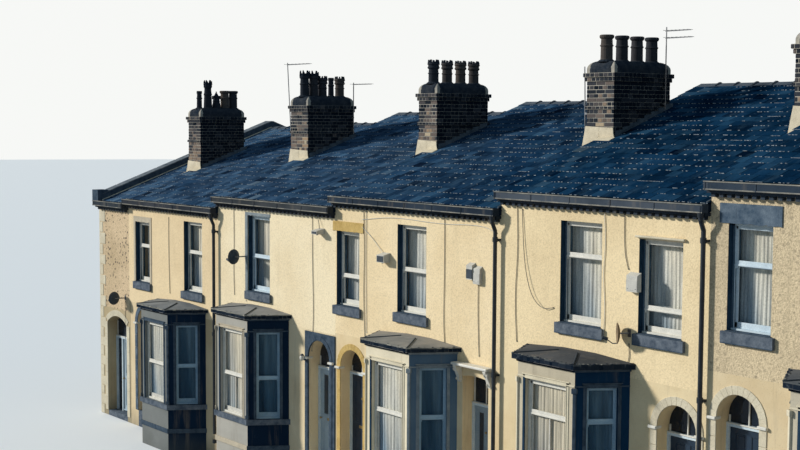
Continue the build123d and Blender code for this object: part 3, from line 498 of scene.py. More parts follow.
def stone_wall_look(name, low, high, mortar):
    """Coursed rubble, with each stone its own shade and sunk joints."""
    look_ = Look(name, rough=0.95)
    brick = look_.node("ShaderNodeTexBrick")
    brick.inputs["Scale"].default_value = 1.0
    brick.inputs["Mortar Size"].default_value = 0.012
    brick.inputs["Mortar Smooth"].default_value = 0.4
    brick.inputs["Brick Width"].default_value = 0.42
    brick.inputs["Row Height"].default_value = 0.17
    joined = look_.node("ShaderNodeCombineXYZ")
    wobble = look_.noise(2.5, 3, 0.5)
    along = look_.maths("ADD", look_.x, look_.y)
    look_.put(joined.inputs[0], look_.maths("ADD", along, look_.maths("MULTIPLY", wobble, 0.12)))
    look_.put(joined.inputs[1], look_.maths("ADD", look_.z, look_.maths("MULTIPLY", wobble, 0.06)))
    look_.put(brick.inputs["Vector"], joined.outputs[0])
    look_.put(brick.inputs["Color1"], low)
    look_.put(brick.inputs["Color2"], high)
    look_.put(brick.inputs["Mortar"], mortar)
    fine = look_.noise(22, 5, 0.7)
    colour = look_.mix(1.0, brick.outputs["Color"], look_.ramp(fine, [(0.25, 0.55), (0.75, 1.0)]), "MULTIPLY")
    soot_and_shade = look_.noise(0.8, 4, 0.6)
    colour = look_.cover(colour, soot_and_shade, [(0.45, 0.0), (0.7, 0.6)], (0.05, 0.06, 0.07))
    look_.bump(look_.mix(0.5, look_.ramp(brick.outputs["Fac"], [(0.0, 1.0), (1.0, 0.0)]), fine), 0.8, 0.02)
    return look_.colour(colour)


def banded(name, colours, inner):
    """A material that changes from one house to the next along the row, with one colour for each."""
    look_ = Look(name, rough=0.95)
    tops = look_.ramp(look_.along_row(), house_stops(colours), constant=True)
    broad = look_.noise(0.7, 6, 0.65)
    streaks = look_.noise(1.2, 6, 0.7, (3.0, 3.0, 0.25))
    pebble = look_.cells(34)
    speck = look_.noise(26, 4, 0.75)
    colour = look_.mix(look_.ramp(broad, [(0.35, 0.75), (0.6, 0.0)]), tops,
                       look_.mix(1.0, tops, inner, "MULTIPLY"))
    colour = look_.cover(colour, streaks, [(0.55, 0.0), (0.75, 0.5)], (0.24, 0.20, 0.15))
    colour = look_.mix(0.5, colour, look_.shade(colour, pebble, [(0.05, 0.6), (0.22, 1.0)]))
    damp = look_.maths("ADD", look_.z, look_.maths("MULTIPLY", broad, 0.8))
    colour = look_.cover(colour, damp, [(0.2, 0.65), (0.9, 0.0)], (0.10, 0.11, 0.10))
    look_.bump(look_.mix(0.5, look_.ramp(pebble, [(0.0, 0.0), (0.3, 1.0)]), speck), 0.6, 0.012)
    return look_.colour(colour)


def house_stops(colours):
    """Ramp stops at the party lines."""
    return [((LINES[i] + LENGTH / 2) / LENGTH, colour) for i, colour in enumerate(colours)]


def glass_look(name, alpha, tint):
    """Old glass with a slight ripple, its tint in patches."""
    look_ = Look(name, rough=0.06, alpha=alpha, gloss=0.5)
    ripple = look_.noise(2.2, 2, 0.5)
    look_.bump(ripple, 0.12, 0.01)
    patches = look_.noise(0.9, 3, 0.5)
    return look_.colour(look_.ramp(patches, [(0.35, tint), (0.7, tuple(c * 2.2 for c in tint))]))


def cloth_look(name, low, middle, high, pattern):
    """Net or woven curtain cloth that pales upwards, with painted shade between pleats in vertical streaks,
    and a pattern.
    """
    look_ = Look(name, rough=0.95, sheen=0.1)
    # The ramp's low end is a shaded blue: painted shade where the tone is low.
    colour = look_.ramp(look_.attribute(), [(0.05, low), (0.5, middle), (0.95, high)])
    pleat_shading = look_.noise(2.6, 5, 0.7, (4, 4, 0.35))
    colour = look_.shade(colour, pleat_shading, [(0.34, 0.62), (0.62, 1.0)])
    if pattern == "lace":
        colour = look_.shade(colour, look_.cells(30), [(0.2, 0.85), (0.5, 1.0)])
    elif pattern == "stripe":
        wave = look_.node("ShaderNodeTexWave")
        wave.inputs["Scale"].default_value = 4.5
        look_.put(wave.inputs["Vector"], look_.place)
        colour = look_.mix(1.0, colour, look_.ramp(wave.outputs["Fac"], [(0.35, 0.72), (0.6, 1.0)]),
                           "MULTIPLY")
    look_.bump(look_.noise(220, 2, 0.6), 0.2, 0.001)
    return look_.colour(colour)


LOOKS = {
    "wall_a": (wall_look, (0.76, 0.58, 0.37), (0.58, 0.44, 0.27), 1.0, 0.95, 0.5),
    "wall_b": (wall_look, (0.84, 0.665, 0.415), (0.76, 0.59, 0.36), 0.15, 0.0, 0.3),
    "wall_c": (wall_look, (0.92, 0.78, 0.53), (0.83, 0.68, 0.44), 0.2, 0.0, 0.25),
    "wall_d": (wall_look, (0.91, 0.735, 0.465), (0.82, 0.645, 0.39), 0.25, 0.0, 0.3),
    "wall_e": (wall_look, (0.89, 0.715, 0.44), (0.78, 0.615, 0.37), 0.25, 0.0, 0.3),
    "wall_f": (wall_look, (0.72, 0.58, 0.375), (0.58, 0.47, 0.31), 1.0, 0.3, 0.4),
    "piers": (banded,
              [(0.50, 0.41, 0.26), (0.72, 0.58, 0.37), (0.78, 0.65, 0.43), (0.80, 0.65, 0.41),
               (0.78, 0.64, 0.40), (0.72, 0.59, 0.38)], (0.80, 0.74, 0.66)),
    "bay_panels": (banded,
                   [(0.4, 0.4, 0.4), (0.22, 0.23, 0.22), (0.42, 0.40, 0.35), (0.86, 0.76, 0.56),
                    (0.56, 0.49, 0.36), (0.56, 0.50, 0.38)], (0.74, 0.75, 0.75)),
    # Right-hand cants: dark stone on most houses, made darker and bluer as painted shade; on d a grey blue
    # that is painted shade on cream paint.
    "bay_sides": (banded,
                  [(0.1, 0.1, 0.1), (0.010, 0.026, 0.054), (0.009, 0.022, 0.046), (0.11, 0.17, 0.23),
                   (0.010, 0.038, 0.082), (0.03, 0.05, 0.08)], (0.6, 0.7, 0.8)),
    "rubble": (stone_wall_look, (0.20, 0.18, 0.15), (0.42, 0.36, 0.27), (0.46, 0.42, 0.34)),
    "under_slate": (mottled, (0.008, 0.016, 0.03), (0.02, 0.035, 0.06), 2.0),
    "slate": (slate_look,
              [(0.0, (0.001, 0.006, 0.020)), (0.45, (0.006, 0.038, 0.090)), (0.8, (0.024, 0.082, 0.152)),
               (1.0, (0.085, 0.130, 0.165))], (0.038, 0.082, 0.125), (0.085, 0.12, 0.17)),
    # Pale blue grey for the slates' lower edges: a painted highlight.
    "slate_edge": (mottled, (0.05, 0.085, 0.125), (0.50, 0.54, 0.56), 26.0, dict(rough=0.9, contrast=0.15)),
    "ridge": (mottled, (0.016, 0.032, 0.055), (0.08, 0.10, 0.12), 3.0, dict(rough=0.75)),
    "pot": (tone_look,
            [(0.0, (0.010, 0.018, 0.032)), (0.35, (0.040, 0.045, 0.055)), (0.7, (0.17, 0.135, 0.105)),
             (1.0, (0.46, 0.38, 0.27))], 18, 0.8, 0.3, 0.004, (0.03, 0.04, 0.055)),
    "brick": (tone_look,
              [(0.0, (0.012, 0.018, 0.028)), (0.35, (0.06, 0.064, 0.075)), (0.6, (0.23, 0.18, 0.15)),
               (0.85, (0.43, 0.30, 0.195)), (1.0, (0.55, 0.45, 0.31))], 36, 0.9, 0.6, 0.006),
    "mortar": (mottled, (0.11, 0.12, 0.13), (0.62, 0.56, 0.45), 2.4, dict(rough=0.95)),
    "flaunching": (mottled, (0.010, 0.020, 0.036), (0.062, 0.068, 0.076), 8.0, 30,
                   dict(rough=0.95, bump=1.0, depth=0.02)),
    # Lead darkened as painted shade for the stacks' right faces; the same finish serves the fillets between
    # the roofs.
    "lead": (mottled, (0.035, 0.055, 0.08), (0.17, 0.20, 0.22), 5.0, dict(rough=0.8)),
    "cream_lead": (mottled, (0.58, 0.50, 0.36), (0.92, 0.81, 0.60), 4.0, dict(rough=0.8)),
    "bay_top": (tone_look,
                [(0.0, (0.006, 0.014, 0.028)), (0.3, (0.03, 0.04, 0.055)), (0.6, (0.13, 0.14, 0.14)),
                 (1.0, (0.50, 0.47, 0.38))], 40, 0.9, 0.6, 0.008, (0.13, 0.15, 0.16)),
    "dressed": (mottled, (0.05, 0.07, 0.095), (0.28, 0.30, 0.31), 5.0, dict(rough=0.9)),
    "sill": (mottled, (0.04, 0.06, 0.09), (0.21, 0.24, 0.275), 7.0, 40, dict(rough=0.9, bump=0.6)),
    "bay_slab": (banded,
                 [(0.3, 0.3, 0.3), (0.27, 0.275, 0.27), (0.31, 0.30, 0.28), (0.38, 0.35, 0.30),
                  (0.115, 0.115, 0.115), (0.12, 0.125, 0.13)], (0.35, 0.40, 0.45)),
    "gutter": (banded,
               [(0.05, 0.06, 0.07), (0.05, 0.055, 0.065), (0.06, 0.065, 0.07), (0.035, 0.048, 0.066),
                (0.075, 0.09, 0.11), (0.04, 0.055, 0.075)], (0.45, 0.5, 0.55)),
    # Pale lip along the gutters: a painted highlight.
    "lip": (mottled, (0.06, 0.08, 0.10), (0.46, 0.42, 0.34), 4.0, dict(rough=0.8)),
    "course": (banded,
               [(0.07, 0.08, 0.09), (0.06, 0.065, 0.07), (0.055, 0.06, 0.07), (0.04, 0.05, 0.06),
                (0.05, 0.06, 0.075), (0.05, 0.065, 0.085)], (0.35, 0.42, 0.5)),
    # Dark blue for the reveals and a bay window's left architrave: painted shade.
    "reveal_blue": (mottled, (0.010, 0.030, 0.058), (0.035, 0.070, 0.115), 3.0, dict(rough=0.8)),
    "pipe": (mottled, (0.008, 0.012, 0.02), (0.03, 0.04, 0.05), 6.0, dict(rough=0.45, coat=0.2)),
    "white_paint": (mottled, (0.66, 0.64, 0.56), (0.90, 0.86, 0.76), 5.0, dict(rough=0.45, bump=0.1)),
    "blue_paint": (mottled, (0.52, 0.63, 0.70), (0.72, 0.82, 0.86), 5.0, dict(rough=0.5, bump=0.1)),
    "shaded_paint": (mottled, (0.24, 0.40, 0.54), (0.44, 0.60, 0.70), 5.0, dict(rough=0.5, bump=0.1)),
    "jamb_blue": (mottled, (0.06, 0.11, 0.16), (0.16, 0.23, 0.29), 5.0, dict(rough=0.8)),
    "door_navy": (mottled, (0.012, 0.025, 0.045), (0.03, 0.055, 0.09), 3.0,
                  dict(rough=0.35, bump=0.1, coat=0.3)),
    "door_pale": (mottled, (0.34, 0.45, 0.52), (0.50, 0.60, 0.66), 3.0, dict(rough=0.4, bump=0.1, coat=0.2)),
    "door_grey": (mottled, (0.22, 0.29, 0.34), (0.34, 0.42, 0.46), 3.0, dict(rough=0.4, bump=0.1, coat=0.2)),
    "ochre": (mottled, (0.46, 0.30, 0.10), (0.78, 0.56, 0.22), 4.0, dict(rough=0.85)),
    "blue_stone": (mottled, (0.025, 0.055, 0.095), (0.19, 0.24, 0.29), 5.0, dict(rough=0.9)),
    "pale_blue": (mottled, (0.15, 0.19, 0.22), (0.35, 0.39, 0.40), 5.0, dict(rough=0.9)),
    "grey_paint": (mottled, (0.48, 0.42, 0.32), (0.66, 0.57, 0.42), 5.0, dict(rough=0.85)),
    "dark_stone": (mottled, (0.025, 0.045, 0.07), (0.11, 0.145, 0.185), 7.0, dict(rough=0.95, bump=0.7)),
    "pale_render": (mottled, (0.60, 0.53, 0.39), (0.82, 0.74, 0.55), 3.0, dict(rough=0.9)),
    "boards": (mottled, (0.16, 0.11, 0.07), (0.32, 0.23, 0.15), 2.0, dict(streak=(1, 12, 1), rough=0.7)),
    "rusty": (mottled, (0.10, 0.075, 0.05), (0.34, 0.25, 0.16), 9.0, dict(rough=0.8)),
    "plastic_pale": (mottled, (0.52, 0.50, 0.45), (0.70, 0.68, 0.60), 6.0, dict(rough=0.5, bump=0.1)),
    "plastic_dark": (mottled, (0.02, 0.03, 0.045), (0.06, 0.08, 0.10), 6.0, dict(rough=0.5, bump=0.1)),
    "steel": (mottled, (0.10, 0.11, 0.12), (0.24, 0.25, 0.26), 8.0, dict(rough=0.45, metal=0.8)),
    "brass": (mottled, (0.30, 0.22, 0.10), (0.55, 0.42, 0.20), 20.0, dict(rough=0.3, metal=0.9)),
    "cable": (mottled, (0.05, 0.055, 0.06), (0.16, 0.16, 0.15), 3.0, dict(rough=0.6)),
    "cable_pale": (mottled, (0.55, 0.55, 0.50), (0.80, 0.78, 0.70), 3.0, dict(rough=0.6)),
    "glass": (glass_look, 0.08, (0.010, 0.022, 0.040)),
    "glass_dark": (glass_look, 0.75, (0.008, 0.014, 0.024)),
    "net": (cloth_look, (0.30, 0.40, 0.47), (0.80, 0.79, 0.70), (0.95, 0.88, 0.70), "lace"),
    "net_blue": (cloth_look, (0.02, 0.06, 0.11), (0.06, 0.14, 0.22), (0.16, 0.27, 0.35), "plain"),
    "beige": (cloth_look, (0.30, 0.38, 0.43), (0.76, 0.71, 0.58), (0.93, 0.83, 0.62), "plain"),
    "striped": (cloth_look, (0.36, 0.40, 0.42), (0.80, 0.72, 0.55), (0.93, 0.83, 0.62), "stripe"),
}
_made = {}


def look(name):
    """A material by name, made the first time that it is asked for."""
    if name not in _made:
        make, *given = LOOKS[name]
        options = given.pop() if isinstance(given[-1], dict) else {}
        _made[name] = make(name, *given, **options)
    return _made[name]


CAD_LOOKS = {
    "wall_a": ("front_upper_a",), "wall_b": ("front_upper_b",), "wall_c": ("front_upper_c",),
    "wall_d": ("front_upper_d",), "wall_e": ("front_upper_e",), "wall_f": ("front_upper_f",),
    "piers": ("front_piers", "door_heads"),
    "bay_panels": ("bay_fronts", "bay_left_cants"),
    "bay_sides": ("bay_right_cants",),
    "rubble": ("back_walls", "gable_wall", "end_wall", "party_walls"),
    "under_slate": ("roof_a", "roof_b", "roof_c", "roof_d", "roof_e", "roof_f"),
    "ridge": ("ridge_tiles",),
    "mortar": ("chimney_stacks",),
    "lead": ("stack_aprons",),
    "bay_slab": ("bay_roofs",),
    "dark_stone": ("gable_coping", "door_surround"),
    "sill": ("window_sills", "bay_sill_fronts", "bay_sill_cants", "doorsteps"),
    "gutter": ("front_gutters", "rear_gutters"),
    "course": ("eaves_courses",),
    "pipe": ("downpipes",),
    "blue_paint": ("door_posts", "door_transoms"),
    "white_paint": ("door_consoles", "front_sashes", "rear_sashes"),
    "glass": ("front_glass", "rear_glass"),
    "glass_dark": ("fanlights",),
    "door_navy": ("door_b", "door_d_left", "fixed_doors"),
    "door_pale": ("door_a", "door_c"),
    "door_grey": ("door_d_right",),
    "boards": ("ground_floors", "upper_floors"),
    "plastic_dark": ("satellite_dishes",),
    "plastic_pale": ("wall_boxes",),
    "steel": ("aerials",),
    "pot": ("chimney_pots",),
}


def cant_place(house, side):
    """Outer face of a bay's cant, at the middle of its length, local X along it."""
    centre = LEFT[house] + BAYS[house][0]
    middle = CANT_LENGTH / 2
    x = centre + side * (BAY_FRONT + CANT_X * middle)
    y = WALL_Y - BAY_REACH + CANT_Y * middle
    return move(x, y, FLOOR[house]) @ turn(CANT_TURN * side, "Z")


def front_places():
    """Every front window as (kind, house, place of its frame's outer face, width, height, rail)."""
    found = []
    for house, centre, width, height, sill, rail in WINDOWS:
        place = move(LEFT[house] + centre, WALL_Y + FRAME_SET, FLOOR[house] + sill)
        found.append(("upper", house, place, width, height, rail))
    for house, (centre, rail) in BAYS.items():
        height = BAY_HEAD - BAY_SILL
        place = move(LEFT[house] + centre, WALL_Y - BAY_REACH + BAY_FRAME_SET, FLOOR[house] + BAY_SILL)
        found.append(("bay", house, place, BAY_WINDOW, height, rail - BAY_SILL))
        for side in (-1, 1):
            place = cant_place(house, side) @ move(0, BAY_FRAME_SET, BAY_SILL)
            found.append(("cant", house, place, CANT_WINDOW, height, rail - BAY_SILL))
    return found


def rear_places():
    """Every rear window, as the front ones."""
    found = []
    for house, centre, width, height, sill, rail in WINDOWS:
        x = LEFT[house] + max(centre, REAR_CLEAR + width / 2)
        for foot in (sill, REAR_SILL):
            place = move(x, BACK_Y - FRAME_SET, FLOOR[house] + foot) @ turn(180, "Z")
            found.append(("rear", house, place, width, height, rail))
    return found


def settings():
    """The row's settings in the scene."""
    return bpy.context.scene.terrace


def slate_slope(shape, place, width, seed, sign):
    """One slope's slates in courses, half a slate over from one to the next."""
    rng = random.Random(seed)
    s = settings()
    courses = int(SLOPE_LENGTH / s.slate_gauge)
    gauge = SLOPE_LENGTH / courses
    for row in range(courses):
        x = -s.slate_width * (0.5 if row % 2 else 1.0) * rng.uniform(0.9, 1.0)
        lift = 0.016 if row else 0.020
        while x < width:
            w = s.slate_width * rng.uniform(0.93, 1.05)
            x0 = max(x, -0.012)
            x1 = min(x + w - 0.009, width + 0.012)
            x += w
            if x1 - x0 < 0.03:
                continue
            slip = rng.uniform(-0.02, 0.0) if rng.random() < 0.08 else rng.uniform(-0.003, 0.003)
            foot = row * gauge + slip - (0.03 if row == 0 else 0.0)
            spot = place @ move(x0, foot, lift + rng.uniform(0, 0.004)) @ turn(-2.2,
                                                                               "X") @ turn(rng.uniform(-0.5,
                                                                                                       0.5),
                                                                                           "Z")
            near = min(x0, width - x1) / 0.7
            tone = rng.gauss(0.43, 0.15) + (0.22 if near < 1 and rng.random() < 0.5 else 0)
            tone = min(max(tone, 0), 1)
            reach = min(gauge + 0.035, SLOPE_LENGTH - foot - 0.02)
            verts = shape.block((0, 0, 0), (x1 - x0, reach, 0.010), tone=tone, place=spot, bevel=0)
            # The second finish, pale, goes on the tail face of a few slates and on short strips along the
            # others' lower edges: painted highlight where the edges catch the light.
            if rng.random() < 0.04:
                faces = {f for v in verts for f in v.link_faces}
                min(faces, key=lambda f: sign * f.calc_center_median().y).material_index = 1
                continue
            chance = 0.6 + 0.38 * sin(x0 * 1.9 + row * 0.45) * sin(row * 0.8 + seed)
            for a in (rng.uniform(0.0, 0.2), rng.uniform(0.3, 0.5), rng.uniform(0.6, 0.85)):
                if rng.random() < chance:
                    a *= x1 - x0
                    b = min(a + rng.uniform(0.015, 0.06), x1 - x0)
                    shape.block((a, -0.002, 0.002), (b, 0.006, 0.0120), 1, place=spot, bevel=0)


def lay_slates(i):
    """Both slopes of one house."""
    name = HOUSES[i][0]
    x0 = LINES[i] + (COPING_W if i == 0 else 0)
    x1 = LINES[i + 1] + (0.04 if i == 5 else 0)
    eaves = EAVES[name]
    shape = Shape(f"slates_{name}", ("slate", "slate_edge"))
    slate_slope(shape, slope_place(1, x0, eaves), x1 - x0, 11 + i, 1)
    slate_slope(shape, slope_place(-1, x1, eaves), x1 - x0, 31 + i, -1)
    shape.done("row")


def step_flashings():
    """Mortar fillets where a roof meets the next house's wall, and pale pointing up the higher verge."""
    shape = Shape("step_pointing", ("cream_lead", "lead"))
    rng = random.Random(5)
    for i in range(1, 6):
        low, high = HOUSES[i - 1][0], HOUSES[i][0]
        for side in (1, -1):
            s = 0.0
            while s < SLOPE_LENGTH - 0.1:
                run = min(rng.uniform(0.18, 0.42), SLOPE_LENGTH - s)
                pale = int(rng.random() < 0.7)
                for house, dx, dz, thick, slot in ((low, -0.02, 0.022, 0.02, 1),
                                                   (high, 0.0, -0.03, 0.008, pale)):
                    place = slope_place(side, LINES[i] + dx, EAVES[house]) @ move(0, s, dz)
                    w = thick + rng.uniform(0, 0.012)
                    h = 0.028 + rng.uniform(0, 0.012)
                    shape.block((-w, 0, -h / 2), (0.004, run - rng.uniform(0.002, 0.01), h / 2), slot,
                                place=place)
                s += run
    # pointing beside the coping of the lower end
    for side in (1, -1):
        for k in range(14):
            place = slope_place(side, LINES[0] + COPING_W, EAVES["a"]) @ move(0, k * 0.415, 0.024)
            w = 0.05 + rng.uniform(0, 0.02)
            span = (0, w) if side == 1 else (-w, 0)
            shape.block((span[0], 0, -0.012), (span[1], 0.40, 0.012), place=place)
    shape.done("row")


def brick_face(shape, place, length, z0, z1, base, height, rng, soot_and_shade, big=False):
    """Courses of brick on one face, local X along it and -Y out of it."""
    s = settings()
    pitch = s.brick_course * (1.0 if not big else 0.97)
    courses = max(1, round((z1 - z0) / pitch))
    pitch = (z1 - z0) / courses
    # Joints are narrower on the faces turned from the light, so less pale mortar shows there: part of the
    # painted shade.
    joint = 0.003 if soot_and_shade > 0.2 else 0.007
    for row in range(courses):
        z = z0 + row * pitch
        n = max(2, round(length / (BRICK_LENGTH if row % 2 else BRICK_LENGTH / 2)))
        w = length / n
        if row % 2:
            edges = [k * w for k in range(n + 1)]
        else:
            edges = [0] + [(k + 0.5) * w for k in range(n)] + [length]
        for a, b in zip(edges, edges[1:]):
            middle = (a + b) / 2
            if base(middle) > z + pitch * 0.4:
                continue
            out = BRICK_PROUD + rng.uniform(-0.002, 0.002)
            edge = abs(middle / length - 0.5) * 2
            rise = (z - base(middle)) / height
            # Tone darkens towards the face's edges and upwards at random, and by the face's painted shade.
            tone = rng.gauss(0.64, 0.17) - 0.16 * edge ** 2 - 0.36 * max(rise - 0.2, 0) - soot_and_shade
            if big:
                tone = rng.gauss(0.28, 0.12) - soot_and_shade / 3
            x0 = -out if a == 0 else a + joint
            x1 = length + out if b >= length - 0.001 else b - joint
            shape.block((x0, -out, z + joint), (x1, 0.004, z + pitch - joint), tone=min(max(tone, 0), 1),
                        place=place)


def brick_box(shape, x0, x1, y0, y1, z0, z1, line, rng, big=False):
    """Brick on the four faces of a stack between two heights."""
    low, high = HOUSES[line - 1][0], HOUSES[line][0]
    middle = LINES[line]

    def under(x, y):
        return roof_top(low if x < middle else high, y - WALL_Y)

    height = EAVES[high] + CORNICE_ABOVE - under(middle, y0)
    # The last number of each face darkens its bricks as painted shade, most on the right face and the back,
    # which are turned from the light, and a little on the left.
    faces = (
        (move(x0, y0, 0), x1 - x0, lambda t: under(x0 + t, y0), 0.0),
        (move(x1, y0, 0) @ turn(90, "Z"), y1 - y0, lambda t: under(x1, y0 + t), 0.52),
        (move(x1, y1, 0) @ turn(180, "Z"), x1 - x0, lambda t: under(x1 - t, y1), 0.3),
        (move(x0, y1, 0) @ turn(-90, "Z"), y1 - y0, lambda t: under(x0, y1 - t), 0.1),
    )
    for place, length, base, soot_and_shade in faces:
        brick_face(shape, place, length, z0, z1, base, height, rng, soot_and_shade, big)


def stack_bricks(line):
    """One stack's bricks: shaft, string course, upper shaft and stepped cornice."""
    width, front, depth, _ = STACKS[line - 1]
    rng = random.Random(60 + line)
    eaves = EAVES[HOUSES[line][0]]
    x0, x1 = LINES[line] - width / 2, LINES[line] + width / 2
    y0, y1 = WALL_Y + front, WALL_Y + front + depth
    shape = Shape(f"stack_bricks_{line}", ("brick",))
    foot = roof_top(HOUSES[line - 1][0], front) - 0.04
    string = eaves + STRING_ABOVE
    cornice = eaves + CORNICE_ABOVE
    brick_box(shape, x0, x1, y0, y1, foot, string, line, rng)
    g = STRING_OUT
    brick_box(shape, x0 - g, x1 + g, y0 - g, y1 + g, string, string + STRING_H, line, rng, True)
    brick_box(shape, x0, x1, y0, y1, string + STRING_H, cornice, line, rng)
    for k, out in enumerate((0.0275, 0.055)):
        z = cornice + k * CORNICE_H / 2
        brick_box(shape, x0 - out, x1 + out, y0 - out, y1 + out, z, z + CORNICE_H / 2, line, rng, True)
    shape.done("row")


def aprons():
    """Lead dressed over the foot of each stack's front, flared to the left and stepped with the two roofs."""
    shape = Shape("lead_aprons", ("cream_lead", "lead"))
    rng = random.Random(77)
    for line, (width, front, depth, _) in enumerate(STACKS, 1):
        half = width / 2
        middle = LINES[line]
        low, high = roof_top(HOUSES[line - 1][0], front), roof_top(HOUSES[line][0], front)
        x0, x1 = middle - half - 0.02, middle + half + 0.02
        face = move(0, WALL_Y + front - 0.014, 0)
        shape.prism([(x0 - 0.12, low - 0.04), (middle, low - 0.04), (middle, high + 0.21),
                     (x0 + 0.01, high + 0.23), (x0 - 0.02, high + 0.1)], face, 0.014, bevel=0.004)
        shape.prism([(middle, high - 0.04), (x1 + 0.04, high - 0.04), (x1, high + 0.1),
                     (x1 - 0.01, high + 0.2), (middle, high + 0.21)], face, 0.014, bevel=0.004)
        for heel, a, b in ((low, x0 - 0.14, middle), (high, middle, x1 + 0.05)):
            place = move(0, WALL_Y + front - 0.02, heel + 0.012) @ turn(PITCH_DEGREES, "X")
            shape.block((a, -0.17, 0.0), (b, 0.0, 0.016), place=place, bevel=0.005)
        # The side flashings take the dark lead, darkened as painted shade for the stack's right face, which
        # is turned from the light.
        for side, house, heel in ((1, HOUSES[line][0], middle + half),
                                  (-1, HOUSES[line - 1][0], middle - half)):
            y = front + 0.02
            while y < front + depth - 0.1:
                top = roof_top(house, y + 0.1)
                near, far = sorted((heel + side * 0.004, heel + side * (0.021 + rng.uniform(0, 0.003))))
                shape.prism([(0, -0.07), (0.21, 0.006), (0.21, 0.13), (0.0, 0.10)],
                            move(far, WALL_Y + y, top) @ turn(90, "Z"), far - near, 1)
                y += 0.2
    shape.done("row", ("stack_aprons",))


POT_SIZES = {
    "roll": (0.5, 0.123, 0.109, 0.14),
    "crown": (0.52, 0.118, 0.106, 0.134),
    "tall": (0.64, 0.118, 0.104, 0.128),
    "spire": (0.78, 0.122, 0.092, 0.116),
    "cone": (0.48, 0.128, 0.076, 0.098),
    "thin": (0.48, 0.078, 0.062, 0.076),
}


def pot(shape, kind, place, rng):
    """One turned clay pot with its bands and top."""
    height, foot, neck, rim = POT_SIZES[kind]
    bore = neck - POT_WALL
    tone = rng.uniform(0.35, 0.6) if kind in ("roll", "crown") else rng.uniform(0.2, 0.4)
    top = height - (0.15 if kind == "crown" else 0.12 if kind in ("tall", "spire", "cone") else 0.0)
    outline = [(foot, 0), (foot, 0.03), (foot - 0.006, 0.045)]
    low = neck + (foot - neck) * 0.35
    outline += [(low, top * 0.55), (low + 0.014, top * 0.57), (low + 0.014, top * 0.61), (low, top * 0.63)]
    outline += [(neck, top * 0.84), (neck + 0.016, top * 0.86), (rim - 0.004, top * 0.89), (rim, top * 0.92),
                (rim, top * 0.96), (rim - 0.010, top * 0.985), (neck + 0.006, top), (bore + 0.006, top),
                (bore, top * 0.97), (bore, 0)]
    shape.spin(outline, place, tone=tone)
    if kind == "crown":
        shape.spin([(rim - 0.012, top - 0.006), (rim - 0.014, top + 0.03), (rim + 0.004, top + 0.045),
                    (rim - 0.004, top + 0.085), (neck - 0.012, top + 0.10), (neck - 0.016, top - 0.006)],
                   place, tone=tone)
        for k in range(10):
            a = 2 * pi * k / 10
            foot_at = place @ Vector((cos(a) * (rim - 0.022), sin(a) * (rim - 0.022), top + 0.08))
            tip = place @ Vector((cos(a) * (rim - 0.03), sin(a) * (rim - 0.03),
                                  height - 0.002 - 0.02 * (k % 2)))
            shape.rod(foot_at, tip, 0.026, tone=tone - 0.15, sides=6, radius2=0.020)
    if kind in ("tall", "spire"):
        for k in range(7):
            a = 2 * pi * k / 7
            tip = Vector((cos(a) * (rim - 0.01), sin(a) * (rim - 0.01), height - 0.03 * (k % 2)))
            shape.rod(place @ Vector((cos(a) * neck, sin(a) * neck, top - 0.01)), place @ tip, 0.034,
                      tone=tone - 0.2, sides=6, radius2=0.014)
        shape.spin([(neck + 0.006, top - 0.006), (neck + 0.02, top + 0.035), (neck + 0.004, top + 0.05),
                    (bore + 0.01, top + 0.05), (bore + 0.01, top - 0.006)], place, tone=tone - 0.1)
    if kind == "cone":
        shape.rod(place @ Vector((0, 0, top - 0.02)), place @ Vector((0, 0, height - 0.03)), neck,
                  tone=tone - 0.2, sides=14, radius2=0.012)
        shape.ball(place @ Vector((0, 0, height - 0.02)), 0.018, tone=tone)
        for k in range(4):
            spot = place @ turn(90 * k + 45, "Z") @ move(neck, 0, top * 0.72)
            shape.block((-0.01, -0.02, 0), (0.045, 0.02, 0.10), tone=tone - 0.1, place=spot, bevel=0.012)


def all_pots():
    """The pots of every stack, bedded on the flaunching."""
    rng = random.Random(9)
    shape = Shape("clay_pots", ("pot", "flaunching"))
    for line, (width, front, depth, kinds) in enumerate(STACKS, 1):
        base = EAVES[HOUSES[line][0]] + CORNICE_ABOVE + CORNICE_H + FLAUNCH_H
        step = (depth - 0.3) / (len(kinds) - 1)
        for k, kind in enumerate(kinds):
            place = move(LINES[line], WALL_Y + front + 0.15 + k * step, base)
            pot(shape, kind, place, rng)
            foot = POT_SIZES[kind][1]
            shape.spin([(foot + 0.05, -0.01), (foot + 0.03, 0.012), (foot + 0.004, 0.03), (foot - 0.02, 0.03),
                        (foot - 0.02, -0.01)], place, 1, steps=16)
        x0, x1 = LINES[line] - width / 2 - 0.022, LINES[line] + width / 2 + 0.022
        y0, y1 = WALL_Y + front - 0.022, WALL_Y + front + depth + 0.022
        shape.block((x0, y0, base - 0.42), (x1, y1, base + 0.006), 1, bevel=0.15, segments=4)
    shape.done("row", ("chimney_pots",))


# Windows

